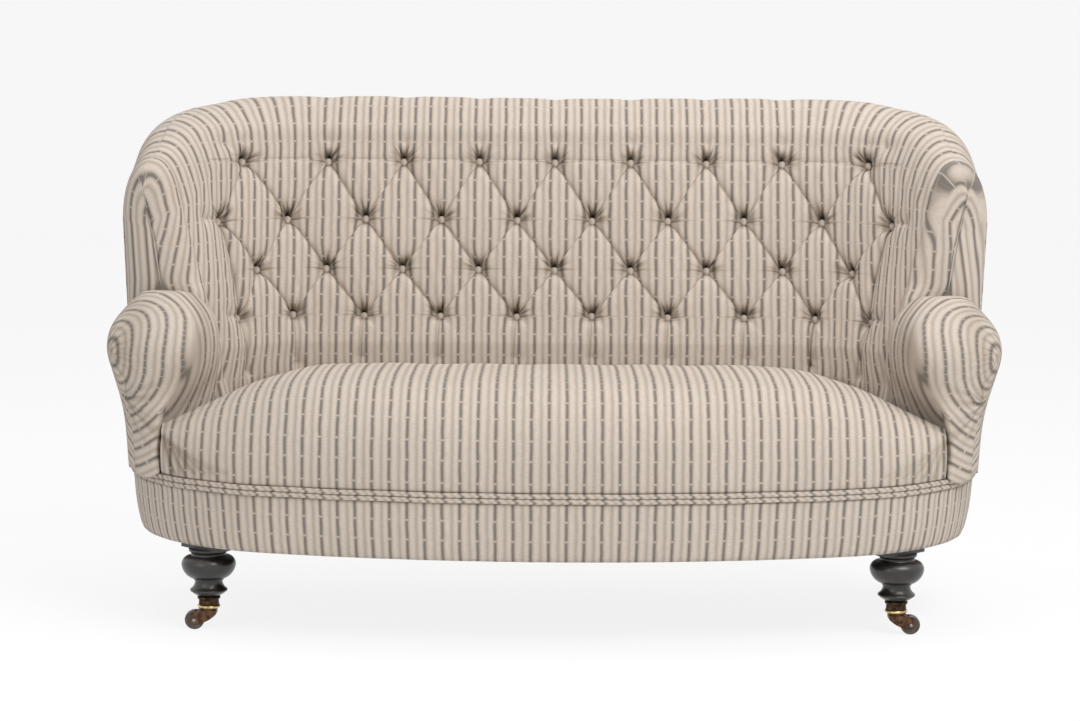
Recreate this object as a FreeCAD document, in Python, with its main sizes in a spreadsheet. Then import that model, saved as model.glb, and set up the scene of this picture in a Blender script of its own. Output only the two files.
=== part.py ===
import FreeCAD, Part
import math
import os

# Button back sofa with a sprung seat, a wrap-round buttoned back, scroll arms and four castors.
# Millimetres. X runs along the sofa, the front faces -Y, and the floor is at zero height.

Vector = FreeCAD.Vector
UP = Vector(0, 0, 1)

doc = FreeCAD.newDocument("ButtonBackSofa")
sheet = doc.addObject("Spreadsheet::Sheet", "Sizes")

SIZES = [
    ("sofa_height", 960, "floor to the top of the back roll"),
    ("seat_frame_width", 1592, "outside of the border at the welt"),
    ("wing_flare", 20, "outside of the wings beyond the border at the welt"),
    ("corner_radius", 380, "plan radius of the front corners"),
    ("rear_corner_radius", 180, "plan radius of the rear corners"),
    ("rear_corner_depth", 154.4, "rear corners of the seat frame, front to back"),
    ("seat_depth", 556, "front of the bow to the back at seat level"),
    ("seat_bulge", 7, "seat front proud of the welt"),
    ("seat_height", 452, "top of the seat where it meets the back"),
    ("seat_crown", 16, "rise of the seat dome above its back edge"),
    ("seat_side_drop", 92, "fall of the seat dome to its front corners"),
    ("seat_front_radius", 120, "height of the rounded seat front"),
    ("hem_drop", 5, "hem of the border below the seat rails"),
    ("hem_inset", 16, "border bottom inside its top"),
    ("border_thickness", 11, "border cloth and wadding on the rail at the hem"),
    ("welt_rise", 1, "line between the two welt cords above the seat rails"),
    ("welt_diameter", 9.5, "each piping cord"),
    ("rail_bottom", 163, "floor to the underside of the seat rails"),
    ("rail_height", 109, "depth of the seat rails"),
    ("rail_thickness", 34, "thickness of the seat rails"),
    ("side_depth", 346, "border at the welt to the straight part of the inside back"),
    ("tub_radius", 160, "inside corner of the back at seat level"),
    ("tub_turn", 62, "degrees that each corner of the back turns"),
    ("back_rake", 14.6, "degrees that the back leans"),
    ("back_thickness", 115, "inside back to outside back at seat level"),
    ("back_timber", 32, "thickness of the back frame"),
    ("post_setback", 8, "front of the back posts behind the canvas"),
    ("cover_thickness", 3, "outside covers"),
    ("canvas_thickness", 1.5, "hessian and bottom cloth"),
    ("roll_height", 96, "height of the roll along the top"),
    ("crest_depth", 58, "height of the crest rail"),
    ("crest_cover", 44, "stuffing over the crest rail"),
    ("wing_drop", 160, "fall of the wing top to its front"),
    ("wing_cover", 112, "rounding of the outside of the wing top"),
    ("wing_nose", 14, "rounding of the front edge of the wing"),
    ("wing_turn", 35, "degrees that the wing goes on round from the corner"),
    ("button_turn", 55.3, "degrees round each corner of the back to the last button"),
    ("button_diameter", 16, "covered button"),
    ("button_thickness", 7, "covered button"),
    ("button_nest", 4, "button back above the bottom of its tuft"),
    ("tuft_crown", 15, "stuffing proud of the mean face between buttons"),
    ("tuft_dip", 15, "stuffing drawn in at a button"),
    ("twine_width", 2.4, "tufting twine"),
    ("arm_height", 602, "floor to the top of the arm"),
    ("arm_length", 200, "wing to the arm front"),
    ("arm_width", 180, "across the scroll"),
    ("post_width", 46, "back posts and arm stumps"),
    ("post_inset", 48.5, "rear corner of the seat frame to the back post"),
    ("leg_inset", 50.5, "border at the welt to the front leg axis"),
    ("leg_turn", 50.2, "degrees round the front corner from the side to the front leg"),
    ("bulb_diameter", 98.8, "widest turning of the front leg"),
    ("bulb_height", 120, "floor to the widest turning"),
    ("neck_diameter", 50, "waist of the front leg"),
    ("collar_diameter", 68, "collar of the front leg"),
    ("collar_height", 73, "floor to the edge of the collar"),
    ("leg_block_thickness", 14, "flat block above the turning"),
    ("leg_block_width", 104, "flat block above the turning"),
    ("rear_leg_inset", 120, "border at the welt to the rear castor"),
    ("rear_leg_setin", 22, "back of the seat frame to the rear castor"),
    ("rear_leg_sweep", 68, "rear foot outward of the top of its leg"),
    ("rear_leg_turn", 71, "degrees from the side that the rear leg sweeps"),
    ("dowel_diameter", 24, "turned tenon on top of the leg"),
    ("dowel_length", 60, "turned tenon on top of the leg"),
    ("foot_diameter", 35, "turned foot inside the castor cup"),
    ("cup_wall", 2.2, "castor cup"),
    ("cup_bottom", 40, "floor to the underside of the cup"),
    ("cup_plate", 4, "bottom of the cup"),
    ("cup_height", 22, "castor cup"),
    ("wheel_diameter", 35, "castor wheel"),
    ("wheel_width", 19, "castor wheel"),
    ("castor_trail", 26, "wheel axle beside the swivel axis"),
    ("fork_width", 28, "across the cheeks of the castor horn"),
    ("axle_diameter", 5, "castor axle pin"),
    ("pivot_diameter", 10, "castor swivel pin"),
    ("running_clearance", 0.4, "between moving parts"),
    ("seat_clearance", 0.3, "between soft pieces and their neighbours"),
    ("spring_height", 160, "seat spring"),
    ("spring_diameter", 92, "seat spring end coil"),
    ("spring_waist", 62, "seat spring waist"),
    ("spring_wire", 4, "seat spring wire"),
    ("webbing_width", 50, "jute webbing"),
    ("webbing_thickness", 2, "jute webbing"),
]

for row, (alias, value, note) in enumerate(SIZES, start=1):
    sheet.set(f"A{row}", note)
    sheet.set(f"B{row}", str(value))
    sheet.setAlias(f"B{row}", alias)
doc.recompute()


def size(alias):
    return float(sheet.get(alias))


# Named places worked out from the sheet
welt_half = size("seat_frame_width") / 2
wing_half = welt_half + size("wing_flare")
tub_half = welt_half - size("side_depth")
rake = math.tan(math.radians(size("back_rake")))
rail_top = size("rail_bottom") + size("rail_height")
crest_top = size("sofa_height") - size("crest_cover")
rail_inset = size("hem_inset") + size("border_thickness")
hem_height = size("rail_bottom") - size("hem_drop")
welt_height = rail_top + size("welt_rise")
welt_top = welt_height + size("welt_diameter")
gap = size("seat_clearance")

back_run = rake * (crest_top - size("seat_height"))
sofa_depth = size("seat_bulge") + size("seat_depth") + size("back_thickness") + back_run
front_y = -sofa_depth / 2 + size("seat_bulge")
seat_line_y = front_y + size("seat_depth")


def rear_y(height):
    """Outside of the back at a height."""
    return seat_line_y + size("back_thickness") + rake * (height - size("seat_height"))


frame_rear_y = rear_y(size("rail_bottom")) - size("cover_thickness") - gap

# The front corners meet the rear corners at the sides, and the bow runs smoothly into them
corner_x = welt_half - size("corner_radius")
corner_y = frame_rear_y - size("rear_corner_depth")
corner_setback = corner_y - front_y
bow_rise = corner_setback - size("corner_radius")
bow_radius = (corner_x ** 2 + corner_setback ** 2 - size("corner_radius") ** 2) / (2 * bow_rise)
bow_centre = Vector(0, front_y + bow_radius, 0)
bow_end = math.degrees(math.asin(corner_x / (bow_radius - size("corner_radius"))))
corner_start = bow_end - 90


def half_width(height):
    """Outside half width at a height: hem, welt, then the wings."""
    if height < welt_height:
        share = (height - hem_height) / (welt_height - hem_height)
        return welt_half - size("hem_inset") * (1 - max(share, 0))
    share = (height - welt_height) / (size("arm_height") - welt_height)
    return welt_half + (wing_half - welt_half) * min(share, 1)


def plan(angle):
    """Unit vector in plan, in degrees from +X towards +Y."""
    return Vector(math.cos(math.radians(angle)), math.sin(math.radians(angle)), 0)


# Wires of straight lines and arcs
def arc_edge(start, middle, end):
    return Part.Arc(start, middle, end).toShape()


def wire_of(points):
    """A closed wire. An item is a point, or a pair (point on the arc, end of the arc)."""
    edges = []
    here = points[0]
    for item in list(points[1:]) + [points[0]]:
        if isinstance(item, tuple):
            edges.append(arc_edge(here, item[0], item[1]))
            here = item[1]
        elif (item - here).Length > gap / 100:
            edges.append(Part.makeLine(here, item))
            here = item
    return Part.Wire(edges)


def loft(wires, ruled=True):
    return Part.makeLoft(wires, True, ruled)


nodes = {}


def keep(label, obj):
    """Give a finished sub-part its name and list it for export."""
    obj.Label = label
    nodes[label] = obj
    return obj


def shaped(label, shape):
    """A sub-part whose form is a loft or a pipe."""
    obj = doc.addObject("Part::Feature", label)
    obj.Shape = shape
    return keep(label, obj)


def mirrored(label, source):
    """The left-hand twin of a right-hand sub-part."""
    obj = doc.addObject("Part::Mirroring", label)
    obj.Source = source
    obj.Normal = Vector(1, 0, 0)
    return keep(label, obj)


def new_body(name):
    return doc.addObject("PartDesign::Body", name)


def sketch_on(body, role):
    """A sketch on one of the body's own origin planes."""
    sketch = body.newObject("Sketcher::SketchObject", body.Name + "Sketch")
    plane = [f for f in body.Origin.OriginFeatures if f.Role == role][0]
    sketch.AttachmentSupport = [(plane, "")]
    sketch.MapMode = "FlatFace"
    return sketch


def flat(x, y):
    return Vector(x, y, 0)


def draw(sketch, points):
    """Draw a closed outline of lines and arcs in a sketch, in its own plane."""
    here = points[0]
    for item in list(points[1:]) + [points[0]]:
        if isinstance(item, tuple):
            sketch.addGeometry(Part.Arc(here, item[0], item[1]), False)
            here = item[1]
        elif (item - here).Length > gap / 100:
            sketch.addGeometry(Part.LineSegment(here, item), False)
            here = item


def padded(name, points, length, role="XY_Plane", middle=False):
    """A body of an outline in a plane, padded by a size or a sum of sizes."""
    body = new_body(name)
    sketch = sketch_on(body, role)
    draw(sketch, points)
    pad = body.newObject("PartDesign::Pad", name + "Pad")
    pad.Profile = sketch
    pad.setExpression("Length", length)
    pad.Midplane = middle
    sketch.Visibility = False
    return body


def turned(name, points):
    """A body turned about its vertical axis from an outline of radius and height."""
    body = new_body(name)
    sketch = sketch_on(body, "XZ_Plane")
    draw(sketch, points)
    turn = body.newObject("PartDesign::Revolution", name + "Turning")
    turn.Profile = sketch
    turn.ReferenceAxis = (sketch, ["V_Axis"])
    turn.Angle = 360
    sketch.Visibility = False
    return body


def cylinder(name, radius, height, place, axis=UP):
    """A cylinder whose radius and height are expressions on the sheet."""
    obj = doc.addObject("Part::Cylinder", name)
    obj.setExpression("Radius", radius)
    obj.setExpression("Height", height)
    obj.Placement = FreeCAD.Placement(place, FreeCAD.Rotation(UP, axis))
    return obj


def box(name, length, width, height, place, turn=0):
    """A box whose sides are expressions on the sheet, centred on a place in plan."""
    obj = doc.addObject("Part::Box", name)
    obj.setExpression("Length", length)
    obj.setExpression("Width", width)
    obj.setExpression("Height", height)
    doc.recompute()
    spin = FreeCAD.Rotation(UP, turn)
    half = Vector(obj.Length.Value / 2, obj.Width.Value / 2, 0)
    obj.Placement = FreeCAD.Placement(place - spin.multVec(half), spin)
    return obj


def cut(name, base, tools):
    """A base with one or more tools cut away."""
    tool = tools[0]
    if len(tools) > 1:
        tool = doc.addObject("Part::MultiFuse", name + "Tools")
        tool.Shapes = tools
    obj = doc.addObject("Part::Cut", name)
    obj.Base = base
    obj.Tool = tool
    return obj


def fused(name, shapes):
    obj = doc.addObject("Part::MultiFuse", name)
    obj.Shapes = shapes
    return obj


# Plan of the seat frame, the same centres for every inset
def bow_point(angle, inset):
    return bow_centre + plan(angle - 90) * (bow_radius - inset)


def corner_point(angle, inset):
    return Vector(corner_x, corner_y, 0) + plan(angle) * (size("corner_radius") - inset)


def at(point, height):
    return Vector(point.x, point.y, height)


def flip(point):
    return Vector(-point.x, point.y, point.z)


def seam_x(height):
    """Seam between the outside back and the side covers, straight from the hem to the roll."""
    low = hem_height
    share = (height - low) / (crest_top - low)
    return half_width(low) * (1 - share) + half_width(crest_top) * share - size("rear_corner_radius")


def front_edge(inset, height):
    """Points of the right half of the front outline, from the bow's middle to the side."""
    tangent = at(bow_point(bow_end, inset), height)
    bend = at(corner_point(corner_start / 2, inset), height)
    side = at(corner_point(0, inset), height)
    return tangent, bend, side


def rear_edge(side, end, fullness):
    """Point on the arc round a rear corner, from the side to the back."""
    return Vector(end.x + (side.x - end.x) * fullness, side.y + (end.y - side.y) * fullness, side.z)


def outer_run(inset, height):
    """Right half of the border outline: bow, front corner, rear corner and seam."""
    tangent, bend, side = front_edge(inset, height)
    seam = Vector(seam_x(height) + gap, rear_y(height), height)
    return tangent, bend, side, rear_edge(side, seam, math.sqrt(0.5)), seam


def band_wire(height, inset):
    """A closed C-shaped outline of the border, open along the back."""
    tangent, bend, side, rear_bend, seam = outer_run(inset, height)
    middle = at(bow_point(0, inset), height)
    in_tangent, in_bend, in_side = front_edge(rail_inset - gap, height)
    in_middle = at(bow_point(0, rail_inset - gap), height)
    in_end = Vector(rail_rear_x, frame_rear_y + gap, height)
    in_rear = rear_edge(in_side, in_end, rail_fullness)
    in_seam = Vector(seam.x, in_end.y, height)
    return wire_of([
        flip(seam), (flip(rear_bend), flip(side)), (flip(bend), flip(tangent)), (middle, tangent),
        (bend, side), (rear_bend, seam), in_seam, in_end, (in_rear, in_side), (in_bend, in_tangent),
        (in_middle, flip(in_tangent)), (flip(in_bend), flip(in_side)), (flip(in_rear), flip(in_end)),
        flip(in_seam)])


rail_fullness = 0.67
rail_rear_x = welt_half - size("rear_corner_radius")
post_x = rail_rear_x - size("post_inset")

# Bowed border, wider at the welt than at the hem
border_levels = ((hem_height, size("hem_inset")), (welt_height - size("welt_diameter"), 0))
shaped("border", loft([band_wire(level, inset) for level, inset in border_levels]))


# Double welt, two piping cords laid along the top of the border
def octagon(centre, outward, radius):
    points = []
    for step in range(8):
        turn = math.radians(45 * step + 22.5)
        points.append(centre + outward * (radius * math.cos(turn)) + UP * (radius * math.sin(turn)))
    return Part.makePolygon(points + [points[0]])


def welt_cord(label, level):
    tangent, bend, side, rear_bend, seam = outer_run(0, level)
    middle = at(bow_point(0, 0), level)
    edges = [
        arc_edge(flip(seam), flip(rear_bend), flip(side)),
        arc_edge(flip(side), flip(bend), flip(tangent)),
        arc_edge(flip(tangent), middle, tangent),
        arc_edge(tangent, bend, side),
        arc_edge(side, rear_bend, seam),
    ]
    start = edges[0].tangentAt(edges[0].FirstParameter)
    outward = start.cross(UP)
    section = octagon(flip(seam), outward, size("welt_diameter") / 2)
    return shaped(label, Part.Wire(edges).makePipeShell([section], True, False))


welt_cord("lower_welt_cord", welt_height - size("welt_diameter") / 2)
welt_cord("upper_welt_cord", welt_height + size("welt_diameter") / 2)


# Seat frame rails, curved like the border
def rail(label, start, middle, end, inner_start, inner_middle, inner_end):
    outline = [start, (middle, end), inner_end, (inner_middle, inner_start)]
    body = padded(label, outline, "Sizes.rail_height")
    body.setExpression("Placement.Base.z", "Sizes.rail_bottom")
    return body


rail_inner = rail_inset + size("rail_thickness")
keep("front_rail", rail(
    "front_rail", bow_point(-bow_end, rail_inset), bow_point(0, rail_inset), bow_point(bow_end, rail_inset),
    bow_point(-bow_end, rail_inner), bow_point(0, rail_inner), bow_point(bow_end, rail_inner)))
corner_rail_timber = rail(
    "corner_rail_timber", corner_point(corner_start, rail_inset),
    corner_point(corner_start / 2, rail_inset), corner_point(0, rail_inset),
    corner_point(corner_start, rail_inner), corner_point(corner_start / 2, rail_inner),
    corner_point(0, rail_inner))

side_start = flat(welt_half - rail_inset, corner_y)
side_inner = flat(welt_half - rail_inner, corner_y)
side_end = flat(rail_rear_x, frame_rear_y)
side_inner_end = flat(rail_rear_x, frame_rear_y - size("rail_thickness"))
post_outer_x = post_x + size("post_width") / 2
post_inner_x = post_x - size("post_width") / 2


def side_rail_body(name, clear):
    """The side rail with its round rear corner, or the room that it takes with a clearance inside it."""
    inner = flat(side_inner.x - clear, side_inner.y)
    inner_end = flat(side_inner_end.x, side_inner_end.y - clear)
    body = padded(name, [
        side_start,
        (rear_edge(side_start, side_end, rail_fullness), side_end),
        flat(post_outer_x, frame_rear_y),
        flat(post_outer_x, inner_end.y),
        inner_end,
        (rear_edge(inner, inner_end, rail_fullness), inner),
    ], "Sizes.rail_height")
    body.setExpression("Placement.Base.z", "Sizes.rail_bottom")
    return body


side_rail_timber = side_rail_body("side_rail_timber", 0)

back_rail_length = "Sizes.seat_frame_width - 2 * (Sizes.rear_corner_radius + Sizes.post_inset) - Sizes.post_width"
back_rail = box("back_rail", back_rail_length, "Sizes.rail_thickness", "Sizes.rail_height",
                Vector(0, frame_rear_y - size("rail_thickness") / 2, size("rail_bottom")))
keep("back_rail", back_rail)

# Two cross bearers from the front rail to the back rail
bearer_back = frame_rear_y - size("rail_thickness")
bearer_x = tub_half / 2
bearer_half = size("rail_thickness") / 2
bearer_bow = bow_centre.y - math.sqrt((bow_radius - rail_inner) ** 2 - (bearer_x + bearer_half) ** 2)
bearer_shapes = []
for side in (-1, 1):
    bearer_shapes.append(padded("bearer" + ("_left" if side < 0 else "_right"), [
        flat(side * bearer_x - bearer_half, bearer_bow + gap * 3),
        flat(side * bearer_x + bearer_half, bearer_bow + gap * 3),
        flat(side * bearer_x + bearer_half, bearer_back),
        flat(side * bearer_x - bearer_half, bearer_back),
    ], "Sizes.rail_thickness"))
    bearer_shapes[-1].setExpression("Placement.Base.z", "Sizes.rail_bottom")
keep("cross_bearers", fused("cross_bearers", bearer_shapes))

# Raked back posts, standing on the seat rails
post_top = crest_top - size("crest_depth")
foot_top = size("cup_bottom") + size("cup_height")
foot_radius = size("foot_diameter") / 2


def timber_back(height):
    return rear_y(height) - size("cover_thickness") - gap


def timber_front(height):
    return timber_back(height) - size("back_timber") + size("post_setback")


post_line = [
    flat(timber_front(post_top), post_top),
    flat(timber_front(rail_top), rail_top),
    flat(frame_rear_y - size("rail_thickness"), size("rail_bottom")),
    flat(frame_rear_y, size("rail_bottom")),
    flat(timber_back(rail_top), rail_top),
    flat(timber_back(post_top), post_top),
]
back_post = padded("back_post_right", post_line, "Sizes.post_width", "YZ_Plane", True)
back_post.Placement.Base = Vector(post_x, 0, 0)
keep("back_post_right", back_post)
mirrored("back_post_left", back_post)


def foot_spigot(name, x, y):
    """The turned foot that stands in a castor cup."""
    place = Vector(x, y, size("cup_bottom") + size("cup_plate"))
    return cylinder(name, "Sizes.foot_diameter / 2", "Sizes.cup_height - Sizes.cup_plate", place)


def pivot_pocket(name, x, y):
    """Room in a foot for the riveted head of the castor pivot."""
    place = Vector(x, y, size("cup_bottom"))
    return cylinder(name, "Sizes.pivot_diameter", "Sizes.cup_plate * 3", place)


def dowel_hole(name, place):
    """Hole for the round tenon on top of a leg."""
    return cylinder(name, "Sizes.dowel_diameter / 2 + Sizes.seat_clearance / 3",
                    "Sizes.rail_bottom + Sizes.dowel_length + Sizes.running_clearance", place)


# Turned front leg
def front_leg_outline():
    foot_bottom = size("cup_bottom") + size("cup_plate")
    collar = size("collar_diameter") / 2
    neck = size("neck_diameter") / 2
    bulb = size("bulb_diameter") / 2
    collar_height = size("collar_height")
    bulb_height = size("bulb_height")
    block_bottom = size("rail_bottom") - size("leg_block_thickness")
    block_top = size("rail_bottom")
    dowel = size("dowel_diameter") / 2
    lower = bulb_height - collar_height
    upper = block_bottom - bulb_height
    return [
        flat(0, foot_bottom),
        flat(foot_radius, foot_bottom),
        flat(foot_radius, foot_top),
        (flat(foot_radius + (collar - foot_radius) * 0.35, foot_top + (collar_height - foot_top) * 0.25),
         flat(collar - lower * 0.04, collar_height - lower * 0.06)),
        flat(collar, collar_height),
        flat(collar - lower * 0.04, collar_height + lower * 0.06),
        (flat(neck + (collar - neck) * 0.25, collar_height + lower * 0.17),
         flat(neck, collar_height + lower * 0.38)),
        flat(neck + lower * 0.06, collar_height + lower * 0.44),
        (flat(bulb - (bulb - neck) * 0.25, bulb_height - lower * 0.32),
         flat(bulb, bulb_height)),
        (flat(bulb - (bulb - neck) * 0.18, bulb_height + upper * 0.5),
         flat(neck + (bulb - neck) * 0.42, bulb_height + upper * 0.68)),
        flat(neck + (bulb - neck) * 0.3, block_bottom - upper * 0.22),
        flat(neck + (bulb - neck) * 0.42, block_bottom),
        flat(dowel, block_bottom),
        flat(dowel, block_top + size("dowel_length")),
        flat(0, block_top + size("dowel_length")),
    ]


leg_turning = turned("front_leg_turning", front_leg_outline())
leg_place = corner_point(-size("leg_turn"), size("leg_inset"))
leg_turning.Placement.Base = leg_place
front_leg = cut("front_leg_right", leg_turning, [pivot_pocket("leg_pocket", leg_place.x, leg_place.y)])
keep("front_leg_right", front_leg)
mirrored("front_leg_left", front_leg)

# Flat block above the turning, its outer edge following the curved rail
block_half = size("leg_block_width") / 2
block_inset = rail_inset + gap
block_angle = -size("leg_turn")
block_sweep = math.degrees(block_half / (size("corner_radius") - block_inset))
block_inner_inset = block_inset + size("leg_block_width")
leg_block_body = padded("leg_block_timber", [
    corner_point(block_angle - block_sweep, block_inset),
    (corner_point(block_angle, block_inset), corner_point(block_angle + block_sweep, block_inset)),
    corner_point(block_angle + block_sweep, block_inner_inset),
    corner_point(block_angle - block_sweep, block_inner_inset),
], "Sizes.leg_block_thickness")
leg_block_body.Placement.Base = Vector(0, 0, size("rail_bottom") - size("leg_block_thickness"))


def twins(label, right):
    """A right-hand piece and its left-hand twin, alike and kept as one group."""
    left = doc.addObject("Part::Mirroring", label + "_twin")
    left.Source = right
    left.Normal = Vector(1, 0, 0)
    return keep(label, fused(label, [right, left]))


leg_block = cut("leg_block_holed", leg_block_body, [dowel_hole("block_hole", leg_place)])
twins("leg_blocks", leg_block)
corner_rail = cut("corner_rail_right", corner_rail_timber, [dowel_hole("rail_hole", leg_place)])
keep("corner_rail_right", corner_rail)
mirrored("corner_rail_left", corner_rail)

# Rear legs, square and tapered, swept back and outward to their castors, their tenons in the corner blocks
rear_foot = flat(welt_half - size("rear_leg_inset"), frame_rear_y - size("rear_leg_setin"))
rear_top = rear_foot - plan(size("rear_leg_turn")) * size("rear_leg_sweep")
rear_leg_shares = ((0, 1), (0.22, 0.7), (0.45, 0.4), (0.72, 0.14), (1, 0))


def rear_leg_wire(height_share, sweep_share):
    """A square outline of the leg at a share of its height and of its sweep."""
    level = foot_top + (size("rail_bottom") - foot_top) * height_share
    half = (size("foot_diameter") + (size("post_width") - size("foot_diameter")) * height_share) / 2
    centre = rear_top + (rear_foot - rear_top) * sweep_share
    corners = ((-half, -half), (half, -half), (half, half), (-half, half))
    return wire_of([Vector(centre.x + x, centre.y + y, level) for x, y in corners])


rear_leg_timber = doc.addObject("Part::Feature", "rear_leg_timber")
rear_leg_timber.Shape = loft([rear_leg_wire(*shares) for shares in rear_leg_shares])
rear_dowel = cylinder("rear_dowel", "Sizes.dowel_diameter / 2", "Sizes.dowel_length",
                      at(rear_top, size("rail_bottom")))
rear_foot_spigot = foot_spigot("rear_foot_spigot", rear_foot.x, rear_foot.y)
rear_leg_whole = fused("rear_leg_whole", [rear_leg_timber, rear_dowel, rear_foot_spigot])
rear_leg = cut("rear_leg_right", rear_leg_whole, [pivot_pocket("rear_leg_pocket", rear_foot.x, rear_foot.y)])
keep("rear_leg_right", rear_leg)
mirrored("rear_leg_left", rear_leg)
keep("side_rail_right", side_rail_timber)
mirrored("side_rail_left", side_rail_timber)

# Corner blocks inside the rails, which take the tenons of the legs
corner_block_inner = rail_inner + size("leg_block_width") * 0.75
block_rail_inset = rail_inner + gap / 3
front_block_body = padded("front_block_timber", [
    corner_point(block_angle - block_sweep, block_rail_inset),
    (corner_point(block_angle, block_rail_inset), corner_point(block_angle + block_sweep, block_rail_inset)),
    corner_point(block_angle + block_sweep, corner_block_inner),
    corner_point(block_angle - block_sweep, corner_block_inner),
], "Sizes.rail_height * 0.7")
front_block_body.Placement.Base = at(Vector(), size("rail_bottom"))
front_block = cut("front_block", front_block_body, [dowel_hole("front_block_hole", leg_place)])
rear_block_turn = 50
rear_block_body = box("rear_block_timber", "Sizes.leg_block_width * 0.75", "Sizes.leg_block_width * 0.8",
                      "Sizes.rail_height * 0.7", at(rear_top, size("rail_bottom")), rear_block_turn)
rear_block = cut("rear_block", rear_block_body,
                 [side_rail_body("side_rail_room", gap / 3), dowel_hole("rear_block_hole", rear_top)])
corner_blocks = fused("corner_blocks_right", [front_block, rear_block])
twins("corner_blocks", corner_blocks)


# Inside surface of the back, from seat level up, leaning at the rake
def lean(height):
    return rake * max(height - size("seat_height"), 0)


class Station:
    """A vertical plane across the back: an origin in plan, an outward direction and its depths."""

    def __init__(self, origin, angle):
        self.origin = origin
        self.angle = angle
        self.outward = plan(angle)

    def inner(self, height):
        if abs(self.origin.x) < tub_half - gap:
            return seat_line_y + lean(height)
        reach = size("tub_radius") + lean(height)
        past = (90 - size("tub_turn")) - self.angle
        return reach / math.cos(math.radians(max(past, 0)))

    def outer(self, height):
        """Outside of the covers: the rear line, the rear corner arc or the side line."""
        bend = size("rear_corner_radius")
        side_x = half_width(height)
        back = rear_y(height)
        if self.angle == 90:
            return back - self.origin.y
        x_reach = (side_x - self.origin.x) / self.outward.x
        if self.origin.y + x_reach * self.outward.y <= back - bend:
            return x_reach
        y_reach = (back - self.origin.y) / self.outward.y
        if self.origin.x + y_reach * self.outward.x <= side_x - bend:
            return y_reach
        offset = self.origin - flat(side_x - bend, back - bend)
        along = offset.dot(self.outward)
        return -along + math.sqrt(along ** 2 - offset.Length ** 2 + bend ** 2)

    def shell(self, height):
        """Outside of the covers, straight from the seat rails up to the roll."""
        under = top_height(self.angle) - cover_depth(self.angle)
        share = (height - rail_top) / (under - rail_top)
        return self.outer(rail_top) * (1 - share) + self.outer(under) * share

    def timber(self, height):
        """Inner face of the back frame, a little further in where it stands on the side rails."""
        under = top_height(self.angle) - cover_depth(self.angle)
        share = (under - height) / (under - rail_top)
        inset = rail_inset * 0.5 * self.outward.x * share
        return self.shell(height) - inset - size("cover_thickness") - gap - size("back_timber")

    def padding_back(self, height):
        """Back of the stuffing, on the canvas."""
        return self.timber(height) - size("canvas_thickness")

    def point(self, reach, height):
        place = self.origin + self.outward * reach
        return Vector(place.x, place.y, height)


# Heights of the button rows, from the seat up, as shares of the way from the seat to the foot of the roll
row_shares = (0.2136, 0.4296, 0.6602, 0.932)
face_height = size("sofa_height") - size("roll_height") - size("seat_height")
row_heights = [size("seat_height") + face_height * share for share in row_shares]

# Columns a quarter of a button's pitch apart, from the middle round to the last button
corner_origin = flat(tub_half, seat_line_y - size("tub_radius"))
corner_mid_reach = size("tub_radius") + lean(row_heights[2]) * 0.9
last_column = 18
column_step = (tub_half + corner_mid_reach * math.radians(size("button_turn"))) / last_column


def column_station(column):
    """Station of a quarter-pitch column on the right half."""
    run = column * column_step
    if run <= tub_half:
        return Station(flat(run, 0), 90)
    turn = math.degrees((run - tub_half) / corner_mid_reach)
    return Station(corner_origin, 90 - min(turn, size("tub_turn") - 1))


def puff(column, row, between):
    """How far the face stands in front of the mean face: buttons and pleats are drawn in."""
    crown = size("tuft_crown")
    dip = size("tuft_dip")
    if column % 2:
        return crown * 0.1 - dip * 0.25 if between else crown * 0.45
    own_row = (column // 2) % 2 == (1 - row % 2)
    if between:
        return crown * 0.62
    return -dip if own_row else crown


crest_shares = {90: 0, 63: 0, 45: 0.13, 36: 0.22, 28: 0.34, 14: 0.6, 6: 0.82, -2: 1}
cover_shares = {90: 0, 63: 0, 50: 0.35, 36: 0.75, 28: 1, -2: 1}


def along_table(table, angle):
    """Value at an angle in a table of angles and shares."""
    angles = sorted(table)
    for low, high in zip(angles, angles[1:]):
        if low <= angle <= high:
            return table[low] + (table[high] - table[low]) * (angle - low) / (high - low)
    return table[angles[-1]] if angle > angles[-1] else table[angles[0]]


def top_height(angle):
    """Top of the roll: level along the back, falling round the corner to the wing front."""
    return size("sofa_height") - size("wing_drop") * along_table(crest_shares, angle)


def cover_depth(angle):
    """Stuffing over the top rail: a tight roll on the back, a long rounding on the wings."""
    return size("crest_cover") + (size("wing_cover") - size("crest_cover")) * along_table(cover_shares, angle)


def roll_points(station, inset=0):
    """The roll over the crest rail, from its front foot to the outside of the cover."""
    top = top_height(station.angle) - inset
    cover = cover_depth(station.angle)
    foot = top - size("roll_height")
    under = top - cover
    front = station.inner(foot) - size("tuft_crown") * 0.4 + inset
    rear = station.outer(under) - inset
    crown = (front + rear) / 2
    shoulder = station.point(rear - (rear - crown) * roll_turn, top - cover * roll_turn)
    return [
        (station.point(front + (crown - front) * 0.14, (foot + top * 3) / 4), station.point(crown, top)),
        (shoulder, station.point(rear, under)),
    ]


roll_turn = 1 - math.sqrt(0.5)


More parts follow.
